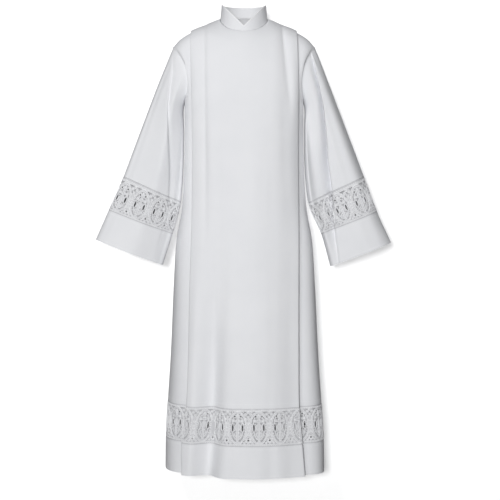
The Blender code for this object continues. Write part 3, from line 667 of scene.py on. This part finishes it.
def sleeveRing(side, at, count):
    ends = {column: value(sleeveTable[side], column, at, "at") for column in sleeveColumns[1:]}
    outer = Vector((side * ends["outerX"], robe["seamY"], ends["outerZ"]))
    inner = Vector((side * ends["innerX"], 0.0, ends["innerZ"]))
    centre, half = (outer + inner) / 2, (outer - inner) / 2
    settled = min(at * sleeve["settle"], 1)
    folds = []
    for fold in sleeveFolds[side]:
        rows = [{"at": place, "in": fold[column]} for column, place in foldPlaces.items()]
        folds.append((fold["turn"], fold["width"], value(rows, "in", at, "at")))
    hard = []
    for fold in hardFolds[side]:
        found = [value(fold["rows"], column, at, "at") for column in ("turn", "step", "groove")]
        hard.append((fold["onFront"], *found))
    ring = []
    for k in range(count):
        turn = 2 * math.pi * k / count
        degrees = math.degrees(turn)
        way = math.copysign(1, math.sin(turn))
        lens = abs(math.sin(turn)) ** sleeve["lens"]
        y = ends["depth"] * way * lens
        aside = 0.0
        for angle, width, deep in folds:
            y -= way * deep * math.exp(-(((degrees - angle) / width) ** 2)) * settled
        for onFront, line, step, groove in hard:
            if onFront != (degrees < 180):
                continue
            place = degrees if onFront else 360 - degrees
            beyond = place - line
            past = 1 / (1 + math.exp(-beyond / sleeve["step"])) * eased((180 - place) / sleeve["stepFade"])
            away = beyond / sleeve["grooveTail"] if beyond > 0 else (beyond / sleeve["grooveLip"]) ** 2
            narrow = math.exp(-away)
            y -= way * (step * past + groove * narrow) * lens
            aside += sleeve["tuck"] * groove * narrow * lens
        patch = Vector((math.cos(turn) * sleeve["patch"] + side * 5, math.sin(turn) * sleeve["patch"],
                        at * sleeve["patchDown"]))
        y += way * noise.noise(patch) * sleeve["uneven"] * settled * lens
        ring.append(centre + half * math.cos(turn) + half.normalized() * aside + Vector((0, -y, 0)))
    return ring


def armholeLoop(side, fronts, backs):
    edge, other = (-1, 0) if side > 0 else (0, -1)
    front = [row[edge] for row in fronts[:armholeRows + 1]]
    back = [row[other] for row in backs[:armholeRows + 1]]
    return front + back[-2:0:-1]


def ringOrder(rows, side):
    return [[row[0]] + row[:0:-1] for row in rows] if side > 0 else rows


sleeveRows = {}
armholes = {}
for side in (-1, 1):
    name = sideName(side)
    coarse = armholeLoop(side, bodyRows["Front"][0], bodyRows["Back"][0])
    fine = sleeve["fine"]
    loop = [a.lerp(b, n / fine) for a, b in zip(coarse, coarse[1:] + coarse[:1]) for n in range(fine)]
    armholes[name] = loop
    count = len(loop)
    start = sleeveRing(side, 0.0, count)
    rows = []
    for at in spread(0.0, 1.0, sleeve["rows"]):
        row = []
        for k, (point, edge, first) in enumerate(zip(sleeveRing(side, at, count), loop, start)):
            low = (1 - math.cos(2 * math.pi * k / count)) / 2
            fade = sleeve["fadeTop"] + (sleeve["fadeUnder"] - sleeve["fadeTop"]) * low
            row.append(point + (edge - first) * max(1 - at / fade, 0.0) ** 2)
        rows.append(row)
    turns = [armholeAcross(side, min(k, count - k) / fine) for k in range(count)]
    rows[0] = [point + turn * robe["seam"] for point, turn in zip(rows[0], turns)]
    rows = ringOrder(rows, side)
    turns = ringOrder([turns], side)[0]
    normals = gridNormals(rows, True)
    normals[0] = [keepClear(normal, -turn) for normal, turn in zip(normals[0], turns)]
    sleeveRows["sleeve" + name] = (rows, normals)
    places = spread(2.0 + sleeve["seam"], 3.0, sleeve["cuffRows"])
    cuff = ringOrder([sleeveRing(side, at, count) for at in places], side)
    sleeveRows["cuff" + name] = (cuff, gridNormals(cuff, True))
    for part in ("sleeve", "cuff"):
        tube = clothWall(part + name, *sleeveRows[part + name], True, robe["cloth"], albCloth)
        declareSheet(tube, [part + "_" + name.lower()])
    band = [sleeveRing(side, at, count) for at in spread(1.0 + sleeve["seam"], 2.0, sleeve["laceRows"])]
    half = count // 2
    for face, part, order in ((-1, "Front", range(half + 1)), (1, "Back", range(half, count + 1))):
        picked = [parted([row[k % count].copy() for k in order], face) for row in band]
        if side > 0:
            picked = [row[::-1] for row in picked]
        pickedNormals = gridNormals(picked, False)
        clearEnds(pickedNormals, face)
        lacePlaces["sleeve" + name + part] = (picked, pickedNormals)
print("sleeves done")

# Stand collar with an open notch at the front, and its bound edge
collar = {
    "topZ": 0.046, "topHalf": 0.0745, "topFront": 0.066, "topBack": 0.062, "notchZ": -0.030,
    "cloth": 0.0022, "inset": 0.0012, "columns": 120, "rows": 12, "binding": 0.0020, "bindingUp": 0.00096,
}


def collarPoint(turn, share):
    sine, cosine = math.sin(turn), math.cos(turn)
    depth, centreZ = neckline(-1 if cosine > 0 else 1)
    topDepth = collar["topFront"] if cosine > 0 else collar["topBack"]
    lowZ = neck["sideZ"] + (centreZ - neck["sideZ"]) * abs(cosine) + 2 * robe["seam"]
    inset = collar["inset"]
    low = Vector(((neck["half"] - inset) * sine, robe["seamY"] - (depth - inset) * cosine, lowZ))
    top = Vector((collar["topHalf"] * sine, robe["seamY"] - topDepth * cosine, collar["topZ"]))
    return low.lerp(top, share)


def collarShare(turn):
    # how much of the collar's height stands here: less towards the notch
    if math.cos(turn) <= 0:
        return 1.0
    low, top = collarPoint(turn, 0.0), collarPoint(turn, 1.0)
    edge = collar["notchZ"] + (collar["topZ"] - collar["notchZ"]) * abs(math.sin(turn))
    return min((edge - low.z) / (top.z - low.z), 1.0)


turns = [2 * math.pi * k / collar["columns"] for k in range(collar["columns"])]
collarRows = []
for i in range(collar["rows"] + 1):
    part = 1 - i / collar["rows"]
    collarRows.append([collarPoint(turn, part * collarShare(turn)) for turn in turns])
collarNormals = gridNormals(collarRows, True)
collarNormals[-1] = [keepClear(normal, Vector((0, 0, -1))) for normal in collarNormals[-1]]
stand = clothWall("standCollar", collarRows, collarNormals, True, collar["cloth"], collarCloth)


def wayAt(path, k, closed):
    # the direction at point k, and how straight the path is there (1 is straight)
    count = len(path)
    before = path[k] - path[k - 1] if closed or k else path[1] - path[0]
    after = path[(k + 1) % count] - path[k] if closed or k < count - 1 else path[k] - path[k - 1]
    along = (before.normalized() + after.normalized()).normalized()
    return along, along.dot(after.normalized())


def tubeFaces(faces, first, count, sides, closed):
    # joins rings of points to a tube, and shuts the ends of an open one
    for k in range(count if closed else count - 1):
        ring, following = first + k * sides, first + (k + 1) % count * sides
        for n in range(sides):
            m = (n + 1) % sides
            faces.append((ring + n, following + n, following + m, ring + m))
    if not closed:
        faces.append(tuple(first + n for n in range(sides)))
        faces.append(tuple(first + (count - 1) * sides + n for n in range(sides))[::-1])


def closedTube(name, path, radius, sides, material, ups):
    points, faces = [], []
    for k, spot in enumerate(path):
        along, straight = wayAt(path, k, True)
        up = (ups[k] - along * ups[k].dot(along)).normalized()
        across = along.cross(up) / max(straight, 0.6)
        for n in range(sides):
            turn = 2 * math.pi * (n + 0.5) / sides
            points.append(spot + (across * math.cos(turn) + up * math.sin(turn)) * radius)
    tubeFaces(faces, 0, len(path), sides, True)
    return meshObject(name, points, faces, material)


edgePath = []
for point, normal in zip(collarRows[0], collarNormals[0]):
    edgePath.append(point - normal * collar["cloth"] / 2 + Vector((0, 0, collar["bindingUp"])))
binding = closedTube("collarBinding", edgePath, collar["binding"], 10, bindingCloth, collarNormals[0])
declareSheet(stand, ["collar"])
attach(binding, ["collar_binding"])
print("collar done")


# One repeat of the lace, flat, in metres: an oval with a tall cross, wheat loops, eyes and flowers on net
lace = {
    "repeat": 0.070, "height": robe["laceHeight"], "thick": 0.0008,
    "from": 0.12,                                    # a repeat begins this share of its width past the flower
    "pitch": 0.0041, "rowShare": 0.86, "hole": 0.00155, "edge": 0.0040,
    "clearOfCord": 0.0002, "clearOfGap": 0.0030,
    "uneven": 0.12, "unevenScale": 900, "holeSides": 5, "cordSides": 5,
    "cell": 0.004, "marks": 0.0015,                  # for finding the cords near a hole
    "upPoints": 24, "acrossPoints": 28,              # many points on every edge, to bend with the cloth
    "end": 0.0004,                                   # left free at both ends of a band
}
laceGaps = tableOf(
    ("name", "across", "up", "wide", "tall", "sides"),
    ("left loop", 0.27, 0.50, 0.0056, 0.0240, 16),
    ("right loop", 0.73, 0.50, 0.0056, 0.0240, 16),
    ("left eye", 0.35, 0.80, 0.0058, 0.0058, 10),
    ("right eye", 0.65, 0.80, 0.0058, 0.0058, 10),
    ("flower", 1.00, 0.17, 0.0060, 0.0060, 10),
)
grain = {"long": 0.0032, "wide": 0.0014, "high": 0.0011, "sides": 5}
grainRings = tableOf(("along", "thick"), (-0.9, 0.30), (-0.45, 0.85), (0.1, 1.0), (0.6, 0.65), (0.95, 0.2))
laceGrains = tableOf(
    ("x", "y", "turn"),
    (0.0108, 0.0530, 60), (0.0102, 0.0600, 80), (0.0102, 0.0670, 100), (0.0108, 0.0740, 120),
    (0.0128, 0.0440, 50), (0.0158, 0.0370, 42), (0.0262, 0.0530, 120), (0.0140, 0.0930, 60),
)


def ovalPath(x, y, wide, tall, count):
    turns = [2 * math.pi * k / count for k in range(count)]
    return [Vector((x + wide * math.cos(turn), y + tall * math.sin(turn))) for turn in turns]


def curvePath(stops, count):
    # a smooth line through a few stops
    path = []
    for k in range(count + 1):
        at = (len(stops) - 1) * k / count
        i = min(int(at), len(stops) - 2)
        t = at - i
        a, b = Vector(stops[i]), Vector(stops[i + 1])
        before = Vector(stops[max(i - 1, 0)])
        after = Vector(stops[min(i + 2, len(stops) - 1)])
        slopeA, slopeB = (b - before) / 2, (after - a) / 2
        path.append(a + (slopeA + ((b - a) * 3 - slopeA * 2 - slopeB
                                   + ((a - b) * 2 + slopeA + slopeB) * t) * t) * t)
    return path


def laceCords():
    width, height = lace["repeat"], lace["height"]
    middle = width / 2
    cords = []

    def cord(path, radius, closed=False, high=0.8, both=False):
        cords.append({"path": path, "radius": radius, "closed": closed, "high": high})
        if both:
            cord([Vector((width - p.x, p.y)) for p in path], radius, closed, high)

    def oval(x, y, wide, tall, count, radius, high=0.9, both=False):
        cord(ovalPath(x, y, wide, tall, count), radius, True, high, both)

    # double oval frame
    oval(middle, height / 2, 0.0312, 0.0540, 44, 0.00115, 1.0)
    oval(middle, height / 2, 0.0276, 0.0500, 40, 0.00085, 0.8)
    # tall cross in outline, with a bud at the tip of each arm and of the head
    arm, stem, armY, topY, footY = 0.0125, 0.0024, 0.0850, 0.1040, 0.0190
    half = [(stem, footY), (stem, armY - stem), (arm, armY - stem), (arm, armY + stem), (stem, armY + stem),
            (stem, topY)]
    corners = [Vector((middle - x, y)) for x, y in half] + [Vector((middle + x, y)) for x, y in half[::-1]]
    path = []
    for a, b in zip(corners, corners[1:] + corners[:1]):
        parts = max(1, round((b - a).length / 0.006))
        path += [a.lerp(b, n / parts) for n in range(parts)]
    cord(path, 0.00100, True, 1.0)
    tip = 0.0022
    oval(middle - arm - tip, armY, 0.0021, 0.0021, 8, 0.00095, 1.0, both=True)
    oval(middle, topY + tip, 0.0021, 0.0021, 8, 0.00095, 1.0)
    # wheat loops round the long gaps, with their stalks
    oval(0.27 * width, 0.50 * height, 0.0044, 0.0140, 20, 0.00100, 1.0, both=True)
    # eyes beside the cross
    oval(0.35 * width, 0.80 * height, 0.0041, 0.0041, 12, 0.00095, 1.0, both=True)
    # stalks of the loops, then scrolls in the lower oval
    for radius, count, stops in (
        (0.00085, 8, [(0.0310, 0.0235), (0.0255, 0.0300), (0.0205, 0.0400), (0.0189, 0.0492)]),
        (0.00080, 8, [(0.0189, 0.0770), (0.0175, 0.0850), (0.0200, 0.0930), (0.0240, 0.0965)]),
        (0.00080, 12, [(0.0300, 0.0330), (0.0262, 0.0380), (0.0268, 0.0450), (0.0302, 0.0480),
                       (0.0312, 0.0440)]),
        (0.00080, 8, [(0.0302, 0.0560), (0.0270, 0.0620), (0.0272, 0.0700), (0.0302, 0.0740)]),
    ):
        cord(curvePath(stops, count), radius, both=True)
    # flower between two ovals, its stalk with buds and leaves
    flowerY = 0.17 * height
    oval(width, flowerY, 0.0041, 0.0041, 12, 0.00090, 1.0)
    for k in range(6):
        turn = math.radians(60 * k + 30)
        oval(width + 0.0078 * math.cos(turn), flowerY + 0.0078 * math.sin(turn), 0.0026, 0.0026, 8, 0.00085)
    for y in (0.0990, 0.0410, 0.1140):
        oval(width, y, 0.0026, 0.0034, 8, 0.00090)
    cord(curvePath([(width, 0.0440), (width, 0.0560), (width, 0.0700), (width, 0.0950)], 8), 0.00085)
    for y in (0.0520, 0.0620, 0.0740):
        for side in (-1, 1):
            leaf = [(width, y), (width + side * 0.0030, y + 0.0030), (width + side * 0.0036, y + 0.0070)]
            cord(curvePath(leaf, 4), 0.00095, high=0.9)
    # rings along both edges, and small ovals between the frames
    for y in (0.0066, 0.1194):
        for k in range(10):
            oval((k + 0.5) * width / 10, y, 0.0025, 0.0022, 8, 0.00080)
    for x, y, wide, tall in ((0.0085, 0.1080, 0.0030, 0.0024), (0.0062, 0.0915, 0.0018, 0.0030),
                             (0.0128, 0.0135, 0.0026, 0.0022), (0.0062, 0.0375, 0.0018, 0.0030)):
        oval(x, y, wide, tall, 8, 0.00085, both=True)
    return cords


def netHoles(cords, left):
    # five-sided holes in staggered rows, wherever no cord and no large gap lies
    width, height = lace["repeat"], lace["height"]
    grid = {}
    for cord in cords:
        path = cord["path"] + cord["path"][:1] if cord["closed"] else cord["path"]
        for a, b in zip(path, path[1:]):
            parts = max(1, int((b - a).length / lace["marks"]))
            for mark in (a.lerp(b, n / parts) for n in range(parts + 1)):
                for x in (mark.x - width, mark.x, mark.x + width):
                    cell = (int(x // lace["cell"]), int(mark.y // lace["cell"]))
                    grid.setdefault(cell, []).append((x, mark.y, cord["radius"]))

    def free(x, y):
        for i in (-1, 0, 1):
            for j in (-1, 0, 1):
                cell = (int(x // lace["cell"]) + i, int(y // lace["cell"]) + j)
                for px, py, radius in grid.get(cell, ()):
                    if math.hypot(px - x, py - y) < radius * 0.7 + lace["hole"] + lace["clearOfCord"]:
                        return False
        for gap in laceGaps:
            aside = (x - gap["across"] * width) / (gap["wide"] / 2 + lace["clearOfGap"])
            above = (y - gap["up"] * height) / (gap["tall"] / 2 + lace["clearOfGap"])
            if aside**2 + above**2 < 1:
                return False
        return True

    holes = []
    columns = round(width / lace["pitch"])
    pitch = width / columns
    rows = int((height - 2 * lace["edge"]) / (pitch * lace["rowShare"]))
    for j in range(rows + 1):
        y = lace["edge"] + (height - 2 * lace["edge"]) * j / rows
        for i in range(columns - j % 2):
            x = left + (i + 0.5 + 0.5 * (j % 2)) * pitch
            if not free(x, y):
                continue
            scale = lace["unevenScale"]
            radius = lace["hole"] * (1 + lace["uneven"] * noise.noise(Vector((x * scale, y * scale, 0))))
            hole = []
            for k in range(lace["holeSides"]):
                turn = 2 * math.pi * (k + 0.25 + 0.13 * (i + j)) / lace["holeSides"]
                hole.append(Vector((x + radius * math.cos(turn), y + radius * math.sin(turn))))
            holes.append(hole)
    return holes


def laceTile():
    # points, faces and how many of the faces are net; cords and grains lie on the net
    width, height = lace["repeat"], lace["height"]
    left = lace["from"] * width
    cords = laceCords()
    ups = spread(0.0, height, lace["upPoints"])
    acrosses = spread(left, left + width, lace["acrossPoints"])
    flat = [Vector((left, y)) for y in ups] + [Vector((x, height)) for x in acrosses[1:-1]]
    flat += [Vector((left + width, y)) for y in ups[::-1]] + [Vector((x, 0)) for x in acrosses[-2:0:-1]]
    rim = len(flat)
    edges = [(k, (k + 1) % rim) for k in range(rim)]
    outlines = [list(range(rim))[::-1]]
    holes = [
        ovalPath(gap["across"] * width, gap["up"] * height, gap["wide"] / 2, gap["tall"] / 2, gap["sides"])
        for gap in laceGaps
    ]
    for hole in holes + netHoles(cords, left):
        outlines.append(list(range(len(flat), len(flat) + len(hole))))
        flat += hole
    found = delaunay_2d_cdt(flat, edges, outlines, 0, 1e-7)
    kept = [tri for tri, owner in zip(found[2], found[5]) if owner and max(owner) == 0]
    used = sorted({k for tri in kept for k in tri})
    index = {k: n for n, k in enumerate(used)}
    back = len(used)
    points = [Vector((found[0][k].x, found[0][k].y, 0.0)) for k in used]
    points += [p - Vector((0, 0, lace["thick"])) for p in points]
    faces = []
    border = set()
    for tri in kept:
        a, b, c = (index[k] for k in tri)
        faces += [(a, b, c), (back + a, back + c, back + b)]
        for first, second in ((a, b), (b, c), (c, a)):
            if (second, first) in border:
                border.remove((second, first))
            else:
                border.add((first, second))
    for first, second in sorted(border):
        # the sides stay open, where the next repeat goes on
        if any(all(abs(points[k].x - x) < 1e-7 for k in (first, second)) for x in (left, left + width)):
            continue
        faces.append((second, first, back + first, back + second))
    netFaces = len(faces)
    for cord in cords:
        addCord(points, faces, cord)
    for row in laceGrains:
        addGrain(points, faces, row["x"], row["y"], row["turn"])
        addGrain(points, faces, width - row["x"], row["y"], 180 - row["turn"])
    print("   lace repeat:", len(outlines) - 1, "holes,", len(faces), "faces")
    return points, faces, netFaces


def addCord(points, faces, cord):
    path, radius = cord["path"], cord["radius"]
    sides = lace["cordSides"]
    first = len(points)
    for k, spot in enumerate(path):
        along, straight = wayAt(path, k, cord["closed"])
        miter = min(1 / max(straight, 0.7), 1.4)
        for n in range(sides):
            turn = 2 * math.pi * (n + 0.25) / sides
            place = spot + Vector((along.y, -along.x)) * math.cos(turn) * radius * miter
            points.append(Vector((*place, (0.2 + math.sin(turn)) * radius * cord["high"])))
    tubeFaces(faces, first, len(path), sides, cord["closed"])


def addGrain(points, faces, x, y, angle):
    # a plump grain: a short spindle lying on the net
    first = len(points)
    along = Vector((math.cos(math.radians(angle)), math.sin(math.radians(angle))))
    across = Vector((along.y, -along.x))
    for ring in grainRings:
        for n in range(grain["sides"]):
            turn = 2 * math.pi * (n + 0.25) / grain["sides"]
            aside = across * math.cos(turn) * grain["wide"] * ring["thick"]
            spot = Vector((x, y)) + along * ring["along"] * grain["long"] + aside
            points.append(Vector((*spot, (0.25 + math.sin(turn)) * grain["high"] * ring["thick"])))
    tubeFaces(faces, first, len(grainRings), grain["sides"], False)


def laceBand(name, places, start, tile):
    # repeats side by side on the flat, cut to the band's length, then laid on the band's rows
    rows, normals = places
    along = lengthsAlong(rows[len(rows) // 2])
    length = along[-1]
    width, height = lace["repeat"], lace["height"]
    tilePoints, tileFaces, netFaces = tile
    points, faces, onNet = [], [], []
    for repeat in range(-2, int(length / width) + 3):
        offset = start + repeat * width
        if offset > length or offset + (1 + lace["from"]) * width < 0:
            continue
        first = len(points)
        points += [Vector((p.x + offset, p.y, p.z)) for p in tilePoints]
        faces += [tuple(first + k for k in face) for face in tileFaces]
        onNet += [0 if k < netFaces else 1 for k in range(len(tileFaces))]
    band = meshObject(name, points, faces, laceNet)
    band.data.materials.append(laceThread)
    band.data.polygons.foreach_set("material_index", onNet)
    flat = bmesh.new()
    flat.from_mesh(band.data)
    bmesh.ops.remove_doubles(flat, verts=flat.verts, dist=2e-6)
    for x, side in ((lace["end"], -1), (length - lace["end"], 1)):
        cut = bmesh.ops.bisect_plane(flat, geom=flat.verts[:] + flat.edges[:] + flat.faces[:],
                                     plane_co=(x, 0, 0), plane_no=(side, 0, 0), clear_outer=True)
        rim = [edge for edge in cut["geom_cut"] if isinstance(edge, bmesh.types.BMEdge)]
        bmesh.ops.holes_fill(flat, edges=rim, sides=0)

    def blend(grid, i, k, s, t):
        upper, lower = grid[i], grid[i + 1]
        return upper[k].lerp(upper[k + 1], t).lerp(lower[k].lerp(lower[k + 1], t), s)

    last = len(rows) - 1
    for vert in flat.verts:
        k, t = placeOn(along, vert.co.x)
        down = min(max(1 - vert.co.y / height, 0.0), 1.0) * last
        i = min(int(down), last - 1)
        normal = blend(normals, i, k, down - i, t).normalized()
        vert.co = blend(rows, i, k, down - i, t) + normal * vert.co.z
    flat.to_mesh(band.data)
    flat.free()
    band.data.shade_smooth()
    band.data.set_sharp_from_angle(angle=math.radians(50))
    print("  ", name, "length %.3f m, faces %d" % (length, len(band.data.polygons)))
    return band


tile = laceTile()
for part in ("Front", "Back"):
    band = laceBand("hemLace" + part, lacePlaces["hem" + part], -0.5 * lace["repeat"], tile)
    declareSheet(band, ["hem_lace_" + part.lower()])
for side in ("Left", "Right"):
    for part in ("Front", "Back"):
        band = laceBand("sleeveLace" + side + part, lacePlaces["sleeve" + side + part], 0.0, tile)
        node = "sleeve_lace_" + side.lower() + "_" + part.lower()
        declareSheet(band, [node])
print("lace done")

# Armhole seams: the turned edges inside lift the cloth to a thin roll
seam = {"roll": 0.0019, "sides": 8}
for side in ("Left", "Right"):
    loop = armholes[side]
    centre = sum(loop, Vector()) / len(loop)
    ups = []
    for k, point in enumerate(loop):
        along = (loop[(k + 1) % len(loop)] - loop[k - 1]).normalized()
        out = point - centre
        ups.append((out - along * out.dot(along)).normalized())
    roll = closedTube("armholeSeam" + side, loop, seam["roll"], seam["sides"], albCloth, ups)
    attach(roll)

# Stitches: short threads along a run, each a little spindle half sunk in the cloth
stitch = {"long": 0.0026, "gap": 0.0016, "thick": 0.00034, "proud": 0.00012, "swing": 0.0009, "sides": 5}
stitchRings = tableOf(("along", "thick"), (0.0, 0.35), (0.2, 1.0), (0.8, 1.0), (1.0, 0.35))


def stitchRun(points, faces, path, normals, swing):
    along = lengthsAlong(path)
    pitch = stitch["long"] + stitch["gap"]
    for n in range(int(along[-1] / pitch)):
        ends = []
        for shift in (0.0, stitch["long"]):
            k, t = placeOn(along, (n + 0.2) * pitch + shift)
            normal = normals[k].lerp(normals[k + 1], t).normalized()
            ends.append((path[k].lerp(path[k + 1], t) + normal * stitch["proud"], normal))
        (a, up), (b, _) = ends
        if (b - a).length < 0.4 * stitch["long"]:
            continue
        across = (b - a).normalized().cross(up).normalized()
        aside = across * swing * (1 if n % 2 else -1)
        a, b = a - aside, b + aside
        first = len(points)
        for ring in stitchRings:
            for corner in range(stitch["sides"]):
                turn = 2 * math.pi * corner / stitch["sides"]
                out = (across * math.cos(turn) + up * math.sin(turn)) * stitch["thick"] * ring["thick"]
                points.append(a.lerp(b, ring["along"]) + out)
        tubeFaces(faces, first, len(stitchRings), stitch["sides"], False)


def stitchPiece(name, runs):
    # a run is a grid, which of its rows has the stitches, if it is closed, and how far they swing
    points, faces = [], []
    for (rows, normals), k, closed, swing in runs:
        row, line = rows[k], normals[k]
        if closed:
            row, line = row + row[:1], line + line[:1]
        stitchRun(points, faces, row, line, swing)
    attach(meshObject(name, points, faces, bindingCloth))
    print("  ", name, len(faces), "faces")


def edgeRuns(above, below, closed):
    # a swinging run on each side of a lace band, and a straight one along the lower edge
    swing = stitch["swing"]
    return [(above, -2, closed, swing), (below, 1, closed, swing), (below, -2, closed, 0.0)]


bodyRuns, sleeveRuns = [], []
for part in ("Front", "Back"):
    bodyRuns += edgeRuns(bodyRows[part], bodyRows["border" + part], False)
for side in ("Left", "Right"):
    sleeveRuns += edgeRuns(sleeveRows["sleeve" + side], sleeveRows["cuff" + side], True)
stitchPiece("hemStitches", bodyRuns)
stitchPiece("sleeveStitches", sleeveRuns)
stitchPiece("collarStitches", [((collarRows, collarNormals), k, True, 0.0) for k in (1, -2)])
print("seams done")


# Plain studio: a pale floor that bends up into the backdrop
studio = {
    "floorZ": -2.60, "wallY": 0.190, "half": 9.0, "front": -7.0, "top": 5.0, "bend": 0.40, "bendSteps": 12,
    "glow": 0.40, "paper": 0.90, "bounce": 0.14, "air": 0.10, "behind": 0.95,
}
# A frontal key light, a softer one from above, and one behind that the backdrop lets through
lights = tableOf(
    ("name", "place", "aim", "size", "power"),
    ("keyLight", (-0.53, -6.2, -0.13), (0.0, 0.0, -0.75), 0.7, 244),
    ("topLight", (-1.8, -4.2, 3.2), (0.0, 0.0, -0.7), 1.4, 78),
    ("backLight", (1.6, 5.5, 1.2), (0.0, 0.0, -0.75), 1.6, 230),
)
view = {"place": (0.02, -4.15, -0.56), "down": 2.884, "lens": 88.6, "sensor": 36}


def paperMaterial():
    # bright to the camera and weak as a reflector; from behind it lets the robe be seen
    material = bpy.data.materials.new("paper")
    material.use_nodes = True
    tree = material.node_tree
    ray = addNode(tree, "LightPath").outputs
    glow = mathNode(tree, "MULTIPLY", ray["Is Camera Ray"], studio["glow"])
    gain = mathNode(tree, "MULTIPLY", ray["Is Camera Ray"], studio["paper"] - studio["bounce"])
    shader = tree.nodes["Principled BSDF"]
    feed(tree, shader, {
        "Base Color": mathNode(tree, "ADD", gain, studio["bounce"]), "Roughness": 0.95,
        "Specular IOR Level": 0.1, "Emission Color": (1, 1, 1, 1), "Emission Strength": glow,
    })
    back = addNode(tree, "NewGeometry").outputs["Backfacing"]
    clear = addNode(tree, "BsdfTransparent").outputs[0]
    hidden = mathNode(tree, "MAXIMUM", back, ray["Is Shadow Ray"])
    pick = addNode(tree, "MixShader", {0: hidden, 1: shader.outputs[0], 2: clear})
    feed(tree, tree.nodes["Material Output"], {"Surface": pick.outputs[0]})
    return material


profile = [(studio["front"], studio["floorZ"])]
for turn in spread(0.0, math.pi / 2, studio["bendSteps"]):
    y = studio["wallY"] - studio["bend"] * (1 - math.sin(turn))
    profile.append((y, studio["floorZ"] + studio["bend"] * (1 - math.cos(turn))))
profile.append((studio["wallY"], studio["top"]))
points = [(x, y, z) for y, z in profile for x in (-studio["half"], studio["half"])]
faces = [(2 * k, 2 * k + 1, 2 * k + 3, 2 * k + 2) for k in range(len(profile) - 1)]
meshObject("backdrop", points, faces, paperMaterial())

for light in lights:
    bpy.ops.object.light_add(type="AREA", location=light["place"])
    lamp = bpy.context.object
    lamp.name = light["name"]
    aim = Vector(light["aim"]) - Vector(light["place"])
    lamp.rotation_euler = aim.to_track_quat("-Z", "Y").to_euler()
    lamp.data.shape = "RECTANGLE"
    lamp.data.size = lamp.data.size_y = light["size"]
    lamp.data.energy = light["power"]

world = bpy.data.worlds.new("studio")
world.use_nodes = True
sky = world.node_tree
seen = addNode(sky, "LightPath").outputs["Is Camera Ray"]
bright = mathNode(sky, "MULTIPLY", seen, studio["behind"] - studio["air"])
strength = mathNode(sky, "ADD", bright, studio["air"])
feed(sky, sky.nodes["Background"], {"Color": (0.95, 0.97, 1.0, 1), "Strength": strength})
bpy.context.scene.world = world
bpy.context.scene.view_settings.view_transform = "Standard"

bpy.ops.object.camera_add(location=view["place"], rotation=(math.radians(90 - view["down"]), 0, 0))
camera = bpy.context.object
camera.data.lens = view["lens"]
camera.data.sensor_width = view["sensor"]
bpy.context.scene.camera = camera
print("studio done")
